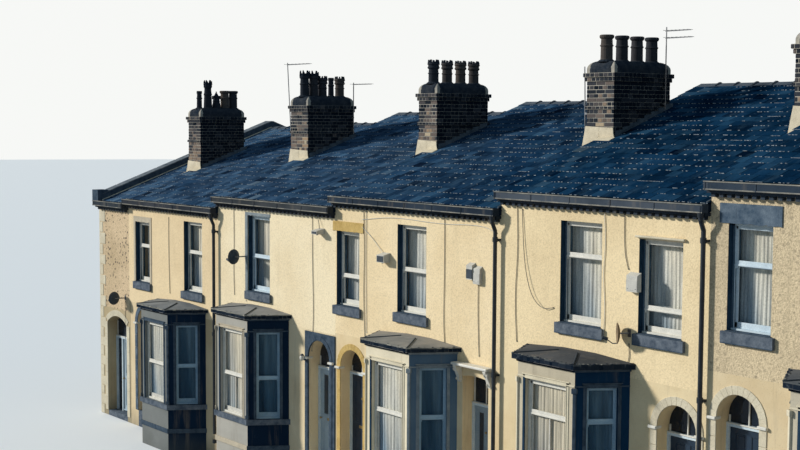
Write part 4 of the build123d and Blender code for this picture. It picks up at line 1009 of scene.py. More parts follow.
def sash_bars(shape, place, width, height, rail, slot, front=0.0, slim=False):
    """A box frame with an upper sash in front of a lower one, horns, beads and a sill rail."""
    half = width / 2
    box_w, stile = (0.024, 0.031) if slim else (0.042, 0.048)

    def bar(x0, x1, y0, y1, z0, z1):
        shape.block((x0, y0, z0), (x1, y1, z1), slot, place=place)

    for side in (-1, 1):
        edge = side * (half - box_w)
        for a, b, y0, y1, z0, z1 in ((side * half, edge, front, 0.07, 0, height),
                                     (edge, edge - side * stile, front + 0.010, front + 0.038, rail - 0.03,
                                      height - box_w),
                                     (edge, edge - side * stile, front + 0.036, front + 0.066, 0.045,
                                      rail + 0.02),
                                     (edge, edge - side * 0.012, front, front + 0.012, 0.03, height - box_w),
                                     (edge - side * 0.002, edge - side * 0.040, front + 0.010, front + 0.036,
                                      rail - 0.085, rail - 0.02)):
            # On the upper windows the left box jamb takes the third finish, a mid blue that is painted shade
            # on a jamb turned from the light.
            shape.block((min(a, b), y0, z0), (max(a, b), y1, z1),
                        2 if side < 0 and front < 0 and b == edge else slot, place=place)
    inner = half - box_w
    bar(-half, half, front, 0.07, height - box_w, height)
    bar(-half, half, front - 0.012, 0.07, 0, 0.04)
    bar(-inner, inner, front + 0.010, front + 0.038, height - box_w - stile, height - box_w)
    bar(-inner, inner, front, front + 0.038, rail - 0.020, rail + 0.040)
    bar(-inner, inner, front - 0.008, front + 0.02, rail - 0.044, rail - 0.016)
    bar(-inner, inner, front + 0.036, front + 0.066, rail - 0.060, rail + 0.008)
    bar(-inner, inner, front + 0.036, front + 0.066, 0.04, 0.135)


def window_frames():
    """Sash frames of every window, front and rear."""
    front = Shape("sash_frames", ("white_paint", "blue_paint", "jamb_blue", "shaded_paint"))
    for kind, house, place, width, height, rail in front_places():
        slot = 3 if kind == "cant" else 1 if house == "f" or (kind, house) == ("upper", "c") else 0
        sash_bars(front, place, width, height, rail, slot, -0.075 if kind == "upper" else 0.0, kind == "cant")
    front.done("row", ("front_sashes",))
    rear = Shape("rear_sash_frames", ("white_paint",))
    for kind, house, place, width, height, rail in rear_places():
        sash_bars(rear, place, width, height, rail, 0)
    rear.done("row", ("rear_sashes",))


def curtain(name, place, x0, x1, z0, z1, folds, depth, material, seed):
    """A hung cloth in folds, deeper at its foot."""
    rng = random.Random(seed)
    bm = bmesh.new()
    bmesh.ops.create_grid(bm, x_segments=96, y_segments=16, size=0.5)
    phase = rng.uniform(0, 6)
    width, height = x1 - x0, z1 - z0
    tone = bm.verts.layers.float.new("tone")
    for v in bm.verts:
        u, t = v.co.x + 0.5, v.co.y + 0.5
        # Tone rises upwards and to the right, so the cloth is darker towards its foot and at its left, where
        # the darkening is painted shade from the reveal.
        v[tone] = min(max(0.1 + t * 0.6 + 0.62 * (u - 0.25) + 0.12 * sin(u * 11 + 3 * t + seed), 0), 1)
        sway = sin(u * folds * 2 * pi + phase + 0.5 * sin(t * 3 + phase)) * 0.5 * depth * (1.15 - 0.4 * t)
        sway += 0.15 * depth * sin(u * folds * 4.7 * pi + 1.3)
        v.co = Vector((x0 + u * width + 0.004 * sin(t * 5 + u * 9), 0.075 + sway, z0 + t * height))
    bmesh.ops.transform(bm, matrix=place, verts=bm.verts)
    area = sum(f.calc_area() for f in bm.faces)
    piece = make_piece(bm, name, (material,))
    piece.data.shade_smooth()
    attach(piece, "row")


def curtains():
    """Net and woven curtains behind the front windows, on thin rods."""
    rods = Shape("curtain_rods", ("brass",))
    plans = []
    for kind, house, place, width, height, _ in front_places():
        half = width / 2 - 0.03
        if kind == "cant":
            plans.append((place, -half, half, 0.05, height - 0.06, 5, 0.010, "net_blue"))
        elif kind == "bay":
            material = "striped" if house == "e" else "beige" if house in "cf" else "net"
            plans.append((place, -half, half, 0.05, height - 0.06, 9, 0.012, material))
        elif house == "b":
            plans.append((place, -half * (0.5 if width < 0.85 else 1.0), half, 0.05, height - 0.05, 7, 0.012,
                          "beige"))
        elif house in "ef":
            plans.append((place, -half, half, 0.05, height - 0.05, 10, 0.012, "net"))
        elif house == "c":
            plans.append((place, -half * 0.96, half, 0.05, height - 0.05, 6, 0.014, "beige"))
        else:
            plans.append((place, -half * 0.98, half, 0.05, height - 0.05, 7, 0.014, "net"))
    for place, x0, x1, z0, z1, *_ in plans:
        rods.rod(place @ Vector((x0 - 0.01, 0.075, z1 + 0.004)),
                 place @ Vector((x1 + 0.01, 0.075, z1 + 0.004)), 0.007)
        for x in (x0 - 0.01, x1 + 0.01):
            rods.ball(place @ Vector((x, 0.075, z1 + 0.004)), 0.012)
    rods.done("row")
    for k, (place, x0, x1, z0, z1, folds, depth, material) in enumerate(plans):
        curtain(f"curtain_{k + 1}", place, x0, x1, z0, z1, folds, depth, material, k)


# Dressings of the walls

def rough_band(shape, house, u0, u1, z0, z1, out, slot, rng, step=0.12):
    """A painted or rendered band on the wall with an uneven lower edge."""
    x = LEFT[house] + u0
    end = LEFT[house] + u1
    floor = FLOOR[house]
    while x < end - 0.001:
        w = min(step * rng.uniform(0.7, 1.3), end - x)
        drop = rng.uniform(-0.012, 0.012)
        outline = [(x, floor + z0 + drop), (x + w, floor + z0 - drop), (x + w, floor + z1), (x, floor + z1)]
        shape.prism(outline, move(0, WALL_Y, 0), out + rng.uniform(0, 0.002), slot)
        x += w


def window_dressings():
    """Painted lintels and surrounds, drip ledges, and dark reveal linings of the upper windows that stand as
    painted shade.
    """
    rng = random.Random(21)
    shape = Shape("window_dressings",
                  ("grey_paint", "ochre", "blue_stone", "pale_render", "dark_stone", "reveal_blue",
                   "pale_blue"))
    for house, centre, width, height, sill, _ in WINDOWS:
        u0, u1 = centre - width / 2, centre + width / 2
        top = sill + height
        # Thin dark blue linings in both reveals: painted shade, as in a reveal turned from the light.
        for a, b in ((u0, u0 + 0.006), (u1 - 0.006, u1)):
            shape.block((LEFT[house] + a, WALL_Y + 0.004, FLOOR[house] + sill + 0.014),
                        (LEFT[house] + b, WALL_Y + 0.106, FLOOR[house] + top), 5, bevel=0.002)
        if house == "b" and centre < 2:
            for a, b in ((u0 - 0.09, u0), (u1, u1 + 0.09)):
                rough_band(shape, house, a, b, sill, top + 0.14, 0.012, 0, rng)
            rough_band(shape, house, u0, u1, top, top + 0.14, 0.012, 0, rng)
        elif house == "d" and centre < 2:
            rough_band(shape, house, u0 - 0.12, u1 + 0.14, top, top + 0.2, 0.014, 1, rng)
        elif house == "f":
            rough_band(shape, house, u0 - 0.16, u1 + 0.16, top, top + 0.3, 0.016, 2, rng)
        elif house == "c":
            rough_band(shape, house, u0 - 0.11, u0 - 0.005, sill, top + 0.07, 0.012, 6, rng, 0.11)
            rough_band(shape, house, u0 - 0.005, u1 + 0.02, top, top + 0.07, 0.012, 6, rng)
        elif house == "e" and centre > 3:
            shape.block((LEFT[house] + u0 - 0.06, WALL_Y - 0.055, FLOOR[house] + top + 0.02),
                        (LEFT[house] + u1 + 0.06, WALL_Y + 0.005, FLOOR[house] + top + 0.06), 3, bevel=0.012)
        # drip bead along the front edge of the sill's foot
        x0, x1 = LEFT[house] + u0 - 0.07, LEFT[house] + u1 + 0.07
        z = FLOOR[house] + sill
        shape.rod((x0, WALL_Y - 0.052, z - 0.175), (x1, WALL_Y - 0.052, z - 0.175), 0.012, 4, tone=0.3)
        shape.block((x0 + 0.05, WALL_Y - 0.03, z - 0.002), (x1 - 0.05, WALL_Y + 0.10, z + 0.012), 4, tone=0.6,
                    bevel=0.006)
    shape.done("row")


def arch_points(door, grow, steps=14):
    """Points round a doorway's opening grown by a margin, from its left foot to its right one."""
    house, centre, width, spring, rise, _ = DOORS[door]
    half = width / 2
    radius = (half * half + rise * rise) / (2 * rise)
    middle = spring + rise - radius
    x = LEFT[house] + centre
    z = FLOOR[house]
    spread = 2 * asin(min(half / radius, 1))
    points = []
    for k in range(steps + 1):
        a = pi / 2 + spread / 2 - spread * k / steps
        points.append((x + (radius + grow) * cos(a), z + middle + (radius + grow) * sin(a)))
    return [(x - half - grow, z)] + points + [(x + half + grow, z)]


def arch_band(shape, door, inner, outer, y, depth, tone, slot, joints=0.0):
    """A band of voussoirs and jamb stones round a doorway."""
    near = arch_points(door, inner)
    far = arch_points(door, outer)
    for k in range(len(near) - 1):
        if k in (0, len(near) - 2):
            (xa, za), (xb, zb) = near[k], near[k + 1]
            (xc, zc), (xd, zd) = far[k], far[k + 1]
            low, high = min(za, zb), max(za, zb)
            n = 7
            for j in range(n):
                a = low + (high - low) * j / n
                b = low + (high - low) * (j + 1) / n - joints
                x0, x1 = sorted((xa if k == 0 else xb, xc if k == 0 else xd))
                shape.block((x0, y - depth, a), (x1, y, b), slot, tone=tone + 0.1 * (j % 2), bevel=0.006)
        else:
            outline = [near[k], near[k + 1], far[k + 1], far[k]]
            shape.prism(outline, move(0, y, 0), depth, slot, tone=tone + 0.08 * (k % 2), bevel=0.004)


def door_dressings():
    """Painted arched surrounds, impost ledges, a lamp, scroll eyes and overlight bars."""
    shape = Shape("door_dressings",
                  ("blue_stone", "ochre", "pale_render", "white_paint", "dark_stone", "plastic_dark"))
    arch_band(shape, "b", 0.0, 0.14, WALL_Y, 0.016, 0.5, 0, 0.004)
    arch_band(shape, "d_left", 0.0, 0.13, WALL_Y, 0.014, 0.6, 1, 0.003)
    arch_band(shape, "a", 0.0, 0.16, WALL_Y, 0.014, 0.4, 2, 0.004)
    for door in ("e", "f"):
        arch_band(shape, door, 0.0, 0.14, WALL_Y, 0.014, 0.5, 2, 0.004)
    arch_band(shape, "c", 0.0, 0.10, WALL_Y - 0.025, 0.012, 0.5, 4, 0.004)
    for door in ("b", "c", "d_left", "e", "f"):
        house, centre, width, spring, rise, _ = DOORS[door]
        x, z, half = LEFT[house] + centre, FLOOR[house] + spring, width / 2
        out = 0.04 if door == "c" else 0.015
        for side in (-1, 1):
            a, b = sorted((x + side * (half - 0.012), x + side * (half + 0.16)))
            shape.block((a, WALL_Y - out - 0.04, z - 0.05), (b, WALL_Y + 0.1, z), 3, tone=0.8, bevel=0.010)
    # glazing bars of the overlights
    for door, (house, centre, width, spring, rise, _) in DOORS.items():
        x, z = LEFT[house] + centre, FLOOR[house] + 1.993 + 0.06
        top = FLOOR[house] + spring + rise * 0.98
        y = WALL_Y + DOOR_SET
        shape.block((x - 0.012, y - 0.008, z), (x + 0.012, y + 0.012, top), 3, bevel=0.003)
        for side in (-1, 1):
            a, b = sorted((x + side * (width / 2 - 0.02), x + side * (width / 2 - 0.045)))
            shape.block((a, y - 0.01, z), (b, y + 0.015, FLOOR[house] + spring), 3)
        shape.block((x - width / 2 + 0.02, y - 0.055, z - 0.02), (x + width / 2 - 0.02, y - 0.035, z + 0.004),
                    3, bevel=0.006)
    # scroll eyes and caps on the brackets
    for u in (3.995, 4.8525):
        for side in (0, 1):
            x = LEFT["d"] + u + (0.0 if side == 0 else 0.085)
            z = FLOOR["d"] + 2.70
            shape.rod((x - 0.004, WALL_Y - 0.115, z), (x + 0.004, WALL_Y - 0.115, z), 0.045, 3, sides=16)
            shape.rod((x - 0.003, WALL_Y - 0.06, z - 0.19), (x + 0.003, WALL_Y - 0.06, z - 0.19), 0.028, 3,
                      sides=14)
    shape.block((LEFT["d"] + 3.97, WALL_Y - 0.2, FLOOR["d"] + 2.782),
                (LEFT["d"] + 4.96, WALL_Y, FLOOR["d"] + 2.83), 3, bevel=0.012, segments=2)
    # lamp beside house c's door
    x, z = LEFT["c"] + 3.70, FLOOR["c"] + 2.2
    shape.block((x - 0.03, WALL_Y - 0.05, z - 0.04), (x + 0.03, WALL_Y - 0.02, z + 0.06), 5, bevel=0.006)
    shape.ball((x, WALL_Y - 0.11, z + 0.03), 0.055, 3, stretch=(1, 1, 1.2))
    shape.rod((x, WALL_Y - 0.11, z + 0.085), (x, WALL_Y - 0.11, z + 0.12), 0.05, 5, sides=12, radius2=0.01)
    shape.done("row")


def leaf_span(door):
    """Left and right edges of a door's leaf."""
    house, centre, width, *_, hinge = DOORS[door]
    leaf = width - 2 * POST_W - 2 * LEAF_GAP - (SIDELIGHT + POST_W if door == "a" else 0)
    x = LEFT[house] + centre
    if hinge > 0:
        right = x + width / 2 - POST_W - LEAF_GAP
        return right - leaf, right
    left = x - width / 2 + POST_W + LEAF_GAP
    return left, left + leaf


def door_trim(door):
    """Panel mouldings, knob, knocker, letter plate and weather bar of one door, moving with it."""
    paint = {"a": "door_pale", "c": "door_pale", "d_right": "door_grey"}.get(door, "door_navy")
    shape = Shape(f"door_trim_{door}", (paint, "brass", "glass_dark"))
    x0, x1 = leaf_span(door)
    floor = FLOOR[DOORS[door][0]] + LEAF_UNDER
    y = WALL_Y + DOOR_SET
    middle = (x0 + x1) / 2
    stile = DOOR_STILE
    for z0, z1 in ((floor + 0.15, floor + 0.83), (floor + 0.97, floor + LEAF_H - stile)):
        for a, b in ((x0 + stile, middle - stile / 2), (middle + stile / 2, x1 - stile)):
            for face, sign in ((y + 0.008, -1), (y + LEAF_T - 0.008, 1)):
                near, far = sorted((face, face + sign * 0.010))
                m = 0.012
                for low, high in (((a, z0), (a + m, z1)), ((b - m, z0), (b, z1)), ((a, z0), (b, z0 + m)),
                                  ((a, z1 - m), (b, z1))):
                    shape.block((low[0], near, low[1]), (high[0], far, high[1]), bevel=0.003)
                glazed = door in ("d_right", "c") and z0 > floor + 0.9
                near, far = sorted((face - sign * 0.001, face + sign * 0.006))
                shape.block((a + 0.03, near, z0 + 0.03), (b - 0.03, far, z1 - 0.03), 2 if glazed else 0)
    hinge = DOORS[door][5]
    knob_x = x0 + 0.05 if hinge > 0 else x1 - 0.05
    for sign, face in ((-1, y), (1, y + LEAF_T)):
        shape.rod((knob_x, face, floor + 0.9), (knob_x, face + sign * 0.035, floor + 0.9), 0.012, 1, sides=10)
        shape.ball((knob_x, face + sign * 0.045, floor + 0.9), 0.024, 1)
    shape.block((middle - 0.11, y - 0.008, floor + 0.86), (middle + 0.11, y + 0.001, floor + 0.92), 1)
    shape.block((x0 + 0.01, y - 0.03, floor + 0.012), (x1 - 0.01, y + 0.002, floor + 0.05), bevel=0.010)
    shape.rod((middle, y - 0.018, floor + 1.5), (middle, y, floor + 1.5), 0.022, 1, sides=12)
    body = "row" if door in FIXED_DOORS else f"door_{door}"
    shape.done(body)


# Bays

def round_bay(house, out):
    """A bay's outer plan moved out by a distance, from the left wall end to the right."""
    centre = LEFT[house] + BAYS[house][0]
    wall = BAY_WALL + out / CANT_Y
    y = -BAY_REACH - out
    front = wall + y * CANT_X / CANT_Y
    return [(centre - wall, WALL_Y), (centre - front, WALL_Y + y), (centre + front, WALL_Y + y),
            (centre + wall, WALL_Y)]


def bay_course(shape, house, inner, outer, z0, z1, tone, first):
    """A moulding round the three faces of a bay, mitred at its corners."""
    near, far = round_bay(house, inner), round_bay(house, outer)
    for k in range(3):
        # The right-hand cant's length takes the third finish, which on house d is a pale blue standing as
        # painted shade.
        slot = 2 if k == 2 else first
        plan = [far[k], far[k + 1], near[k + 1], near[k]]
        made = [shape.bm.verts.new((x, y, z0)) for x, y in plan]
        face = shape.bm.faces.new(made)
        out = bmesh.ops.extrude_face_region(shape.bm, geom=[face])["geom"]
        moved = [g for g in out if isinstance(g, bmesh.types.BMVert)]
        bmesh.ops.translate(shape.bm, verts=moved, vec=(0, 0, z1 - z0))
        shape.mark(made + moved, tone, slot)
        shape.ease(list({e for v in made + moved for e in v.link_edges}), 0.006)


def bay_trim(house):
    """Mouldings under one bay's slab, a string over its windows, architraves, and the slab's ragged edge."""
    # The third finish goes on the right-hand faces: dark stone on most bays, and on d a pale blue that is
    # painted shade on its cream paint.
    names = {"b": ("dark_stone", "bay_top", "dark_stone"), "c": ("grey_paint", "bay_top", "dark_stone"),
             "d": ("pale_render", "bay_top", "pale_blue"), "e": ("pale_render", "bay_top", "dark_stone"),
             "f": ("pale_render", "bay_top", "dark_stone")}[house]
    shape = Shape(f"bay_trim_{house}", names + ("pale_render", "reveal_blue"))
    floor = FLOOR[house]
    rng = random.Random(ord(house))
    bay_course(shape, house, 0.0, 0.03, floor + 2.955, floor + 3.0, 0.1, 1)
    bay_course(shape, house, 0.0, 0.012, floor + 2.70, floor + 2.73, 0.5, 0)
    bay_course(shape, house, 0.0, 0.03, floor + 0.05, floor + 0.16, 0.5, 0)
    # slab edge in short uneven lengths, with a pale worn lip
    plan = round_bay(house, 0.10)
    for k in range(3):
        (xa, ya), (xb, yb) = plan[k], plan[k + 1]
        length = hypot(xb - xa, yb - ya)
        angle = Vector((xb - xa, yb - ya)).angle_signed(Vector((1, 0)))
        base = move(xa, ya, floor + BAY_TOP) @ Matrix.Rotation(angle, 4, "Z")
        t = 0.0
        while t < length - 0.01:
            w = min(rng.uniform(0.05, 0.16), length - t)
            out = rng.uniform(0.002, 0.010)
            top = 0.09 + rng.uniform(-0.004, 0.008)
            worn = rng.uniform(0.6, 1.0) if house in "bcd" else rng.uniform(0.15, 0.6)
            shape.block((t, -out, 0.072 + rng.uniform(-0.006, 0.006)), (t + w - 0.002, 0.01, top), 1,
                        tone=worn, place=base)
            shape.block((t, -out * 0.5, rng.uniform(0.0, 0.01)), (t + w, 0.01, 0.075), 1,
                        tone=rng.uniform(0.0, 0.25), place=base, bevel=0.003)
            t += w
        for _ in range(24 if house in "ef" else 6):
            lump = base @ Vector((rng.uniform(0, length), rng.uniform(0.0, 0.05),
                                  0.092 + rng.uniform(0, 0.004)))
            shape.ball(lump, rng.uniform(0.008, 0.018), 1, tone=rng.uniform(0.0, 0.9),
                       stretch=(1.4, 1.4, 0.6))
    # lead rolls up the hips
    share = 0.3
    centre = LEFT[house] + BAYS[house][0]
    eaves = floor + BAY_TOP + 0.09
    for x, y in plan[1:3]:
        low = Vector((x, y, eaves + 0.006))
        high = Vector((centre + (x - centre) * share, WALL_Y + (y - WALL_Y) * share, eaves + 0.064))
        shape.rod(low, high, 0.014, 1, tone=0.55 if house in "bcd" else 0.4, sides=10)
    # architraves round the three windows
    places = [(place, width) for kind, h, place, width, height,
              rail in front_places() if h == house and kind != "upper"]
    for place, width in places:
        face = place @ move(0, -BAY_FRAME_SET, 0)
        half = width / 2
        height = BAY_HEAD - BAY_SILL
        slot = 2 if width < 0.6 else 0
        for out, band in ((0.010, 0.06), (0.018, 0.02)):
            for side in (-1, 1):
                a, b = sorted((side * half, side * (half + band)))
                # The left bands of a front window's architrave take the dark reveal blue, as painted shade.
                dark = 4 if side < 0 and width > 0.6 else slot
                shape.block((a, -out, 0.0), (b, 0.002, height + band), dark, place=face)
            shape.block((-half - band, -out, height), (half + band, 0.002, height + band), slot, place=face)
        shape.block((-half - 0.08, -0.022, height + 0.062), (half + 0.08, 0.002, height + 0.082), slot,
                    place=face, bevel=0.006)
    # corner pilasters with caps
    for side in (-1, 1):
        # The right pilaster takes the third finish, painted shade on house d.
        slot = 0 if side < 0 else 2
        x = centre + side * (BAY_FRONT - 0.002)
        y = WALL_Y - BAY_REACH - 0.002
        spot = move(x, y, floor) @ turn(side * 29.2, "Z")
        shape.block((-0.03, -0.018, 0.76), (0.03, 0.02, 2.69), slot, place=spot, bevel=0.010, segments=2)
        shape.block((-0.05, -0.035, 2.60), (0.05, 0.02, 2.69), slot, place=spot, bevel=0.012, segments=2)
        shape.block((-0.045, -0.03, 0.76), (0.045, 0.02, 0.84), slot, place=spot, bevel=0.010, segments=2)
    shape.done("row")


def bay_mullions():
    """The slim upright bars in the lower panes of houses c and e, front windows."""
    shape = Shape("bay_mullions", ("white_paint",))
    for kind, house, place, width, height, rail in front_places():
        if kind == "bay" and house in "ce":
            shape.block((-0.014, 0.038, 0.11), (0.014, 0.062, rail - 0.04), place=place)
    shape.done("row")


# Eaves, pipes, wires and fittings

def eaves_trim():
    """Gutter lips, joint collars and brackets along each gutter."""
    shape = Shape("eaves_trim", ("gutter", "course", "lip"))
    for name, _, eaves, _ in HOUSES:
        x0, x1 = LEFT[name] + 0.006, RIGHT[name] - 0.006
        for side, y in ((1, WALL_Y), (-1, BACK_Y)):
            face = y - side * GUTTER_REACH
            # Both rods take the pale lip finish: a painted highlight along the gutter's top edge and its
            # foot.
            shape.rod((x0, face, eaves - 0.006), (x1, face, eaves - 0.006), 0.011, 2, tone=0.8)
            shape.rod((x0, face + side * 0.004, eaves - 0.122), (x1, face + side * 0.004, eaves - 0.122),
                      0.012, 2, tone=0.3)
            n = max(2, round((x1 - x0) / 0.9))
            for k in range(n + 1):
                x = x0 + 0.03 + (x1 - x0 - 0.06) * k / n
                a, b = sorted((face - side * 0.008, face + side * 0.02))
                shape.block((x - 0.012, a, eaves - 0.135), (x + 0.012, b, eaves + 0.002), 1 if k % 2 else 0,
                            tone=0.4, bevel=0.003)
    shape.done("row")


def pipe_trim():
    """Collars, ears and nails on the rainwater pipes, and a small head at the top of each."""
    shape = Shape("pipe_trim", ("pipe",))
    for line, house in ((2, "b"), (4, "d"), (5, "e")):
        x = LINES[line] - 0.062
        neck = EAVES[house] - ROOF_T - 0.11 - 0.16
        y = WALL_Y - 0.095
        for below in (0.14, 2.6, 5.2):
            z = neck - below
            shape.rod((x, y, z - 0.055), (x, y, z + 0.03), 0.050, sides=16)
            for side in (-1, 1):
                shape.rod((x + side * 0.043, WALL_Y - 0.02, z - 0.017), (x + side * 0.043, WALL_Y, z - 0.017),
                          0.012)
        top = EAVES[house] - ROOF_T
        shape.rod((x, WALL_Y - 0.172, top - 0.07), (x, WALL_Y - 0.172, top), 0.046, sides=16, radius2=0.056)
    shape.done("row")


def rounded(points):
    """A run of points with its corners cut off, twice over."""
    for _ in range(2):
        cut = [points[0]]
        for a, b in zip(points, points[1:]):
            cut.append(tuple(p + (q - p) * 0.25 for p, q in zip(a, b)))
            cut.append(tuple(p + (q - p) * 0.75 for p, q in zip(a, b)))
        points = cut + [points[-1]]
    return points


def wall_wires():
    """Thin wires clipped to the front wall, as run down and across it."""
    def spot(house, u, z, out=0.012):
        """A point on the wall from the house's left party line and its floor."""
        return (LEFT[house] + u, WALL_Y - out, FLOOR[house] + z)

    shape = Shape("wall_wires", ("cable", "cable_pale"))
    runs = (
        (0, "a", [(1.5, 3.1), (1.5, 2.0), (1.53, 1.2)]),
        (1, "c", [(1.24, 4.15), (1.22, 3.6), (1.26, 3.2)]),
        (0, "c", [(3.95, 5.35), (3.95, 4.4), (4.0, 3.2), (3.93, 2.4)]),
        (0, "c", [(4.1, 5.38), (4.25, 5.2, 0.05), (4.29, 5.07, 0.06)]),
        (1, "d", [(0.95, 5.15), (1.3, 4.95), (1.66, 4.68, 0.03)]),
        (1, "d", [(0.95, 5.3), (2.0, 5.42), (3.4, 5.36), (4.6, 5.42), (5.0, 5.3)]),
        (0, "d", [(3.55, 5.5), (3.56, 4.6), (3.54, 3.5), (3.58, 3.1)]),
        (0, "d", [(4.52, 4.33), (4.52, 3.7), (4.56, 3.0)]),
        (0, "e", [(0.55, 5.45), (0.62, 4.6, 0.03), (0.8, 4.0, 0.05), (1.1, 3.75, 0.05),
             (1.35, 3.8, 0.02)]),
        (0, "e", [(0.42, 5.5), (0.45, 4.7), (0.38, 3.9), (0.44, 3.1)]),
        (0, "e", [(2.95, 5.5), (2.96, 4.9), (3.05, 4.62)]),
        (0, "e", [(3.09, 3.4), (3.11, 3.15), (3.0, 3.0)]),
        (0, "b", [(2.2, 5.2), (2.2, 4.2), (2.24, 3.3)]),
        (0, "c", [(0.72, 5.4), (0.74, 4.6), (0.71, 3.9), (0.74, 3.3)]),
        (0, "d", [(1.0, 5.55), (1.03, 4.6), (1.0, 3.8), (1.05, 2.9)]),
        (1, "d", [(1.09, 5.55), (1.08, 4.4), (1.1, 3.0)]),
        (1, "e", [(2.50, 5.6), (2.55, 5.0), (2.5, 4.5), (2.56, 3.9), (2.52, 3.4)]),
    )
    for slot, house, spots in runs:
        points = [spot(house, *at) for at in spots]
        shape.line(rounded(points), 0.006, slot)
        for p in (points[0], points[-1]):
            shape.block((p[0] - 0.012, WALL_Y - 0.016, p[2] - 0.008), (p[0] + 0.012, WALL_Y, p[2] + 0.008),
                        slot, bevel=0.003)
    shape.done("row")


def fittings_trim():
    """Screws, seams and lenses on the wall boxes and lamps, and cross rods on the aerials."""
    shape = Shape("fittings_trim", ("plastic_dark", "plastic_pale", "steel"))
    for house, u, z, w, h, out in (("c", 4.2, 4.96, 0.19, 0.12, 0.21), ("d", 1.64, 4.5, 0.23, 0.19, 0.17)):
        x, foot = LEFT[house] + u, FLOOR[house] + z
        shape.block((x + 0.012, WALL_Y - out - 0.008, foot + 0.012),
                    (x + w - 0.012, WALL_Y - out + 0.002, foot + h - 0.06), bevel=0.005)
        shape.rod((x + w / 2, WALL_Y - out * 0.6, foot - 0.02), (x + w / 2, WALL_Y - out * 0.6, foot + 0.01),
                  0.022, sides=12)
    for house, u, z, w, h, out in (("d", 4.27, 4.4, 0.16, 0.31, 0.09), ("d", 4.44, 4.33, 0.18, 0.33, 0.07),
                                   ("e", 3.09, 4.27, 0.23, 0.31, 0.10)):
        x, foot = LEFT[house] + u, FLOOR[house] + z
        slot = 0 if (house, u) == ("d", 4.27) else 1
        shape.block((x - 0.004, WALL_Y - out - 0.006, foot + 0.02),
                    (x + w + 0.004, WALL_Y - out + 0.004, foot + h * 0.62), slot, bevel=0.006)
        for a in (0.03, w - 0.03):
            shape.rod((x + a, WALL_Y - out - 0.010, foot + 0.05), (x + a, WALL_Y - out, foot + 0.05), 0.007,
                      2)
    for line, side, y, foot, top, lean, booms in (
            (2, -1, 2.36, 1.5, 3.23, -0.15, ((3.18, 1.0),)), (2, 1, 3.64, 1.48, 2.75, 0, ((2.7, 0.75),)),
            (4, 1, 3.86, 1.5, 3.07, 0, ((2.99, 0.6), (2.855, 0.64)))):
        width = STACKS[line - 1][0]
        x = LINES[line] + side * (width / 2 + 0.075)
        eaves = EAVES[HOUSES[line][0]]
        for z, length in booms:
            at = x + lean * (z - foot) / (top - foot)
            n = 7
            for k in range(n):
                px = at + length * (k + 0.6) / n
                reach = 0.16 - 0.012 * k
                shape.rod((px, WALL_Y + y - reach, eaves + z + 0.008),
                          (px, WALL_Y + y + reach, eaves + z + 0.008), 0.004, 2, sides=6)
    shape.done("row")


def dishes():
    """Turned dishes on their brackets, each with its arm and horn."""
    shape = Shape("dishes", ("plastic_dark", "steel", "rusty"))
    for house, u, z, yaw, along, reach in (("a", 1.5, 3.2, -80, -0.06, 0.27),
                                           ("c", 1.24, 4.23, -80, -0.04, 0.27),
                                           ("e", 3.09, 3.58, -42, -0.08, 0.134)):
        x, y, height = LEFT[house] + u, WALL_Y, FLOOR[house] + z
        shape.block((x - 0.035, y - 0.012, height - 0.065), (x + 0.035, y, height + 0.065), 1)
        hub = Vector((x + along, y - reach, height))
        shape.rod((x, y - 0.01, height), hub, 0.014, 1, sides=10)
        face = Matrix.Translation(hub) @ turn(yaw, "Z") @ turn(90, "X")
        shape.spin([(0.0005, 0.0), (0.07, 0.006), (0.13, 0.022), (0.17, 0.043), (0.175, 0.05), (0.168, 0.052),
                    (0.125, 0.030), (0.065, 0.014), (0.0005, 0.008)], face, 2 if house == "e" else 0,
                   steps=32)
        arm = [face @ Vector(v) for v in ((0, -0.165, 0.045), (0, -0.17, 0.12), (0, -0.09, 0.23))]
        shape.line(arm, 0.009, 1)
        shape.rod(face @ Vector((0, -0.1, 0.20)), face @ Vector((0, -0.07, 0.29)), 0.03, sides=14,
                  radius2=0.024)
    shape.done("row", ("satellite_dishes",))


def corner_quoins():
    """Pale quoins up the lower end's front corner and the coping's joints."""
    shape = Shape("corner_quoins", ("pale_render", "dressed"))
    rng = random.Random(3)
    z = 0.0
    k = 0
    while z < 5.6:
        h = rng.uniform(0.24, 0.32)
        w = 0.34 if k % 2 else 0.2
        shape.block((LINES[0] - 0.006, WALL_Y - 0.010, z + 0.006),
                    (LINES[0] + w, WALL_Y + 0.02, z + h - 0.006), tone=rng.uniform(0.3, 0.8), bevel=0.006)
        shape.block((LINES[0] - 0.010, WALL_Y, z + 0.006),
                    (LINES[0] + 0.02, WALL_Y + (0.2 if k % 2 else 0.34), z + h - 0.006),
                    tone=rng.uniform(0.3, 0.8), bevel=0.006)
        z += h
        k += 1
    length = SLOPE_LENGTH
    for side in (1, -1):
        for k in range(9):
            foot = slope_place(side, LINES[0] + COPING_W / 2 - 0.02, EAVES["a"] + 0.17)
            place = foot @ move(0, k * length / 9, 0)
            shape.block((-0.172, 0.01, 0.0), (0.172, length / 9 - 0.01, 0.03), 1, tone=rng.uniform(0.3, 0.7),
                        place=place, bevel=0.010, segments=2)
    shape.done("row")


# Operators

class TerraceSettings(bpy.types.PropertyGroup):
    """Sizes that the pieces are laid to."""

    slate_width: FloatProperty(name="Slate width", description="Width of one slate", default=0.25, min=0.15,
                               max=0.4, subtype="DISTANCE", unit="LENGTH")
    slate_gauge: FloatProperty(name="Slate gauge", description="Height of slate that shows in each course",
                               default=0.235, min=0.15, max=0.35, subtype="DISTANCE", unit="LENGTH")
    brick_course: FloatProperty(name="Brick course",
                                description="Height of one course of chimney brick with its joint",
                                default=0.083, min=0.06, max=0.1, subtype="DISTANCE", unit="LENGTH")


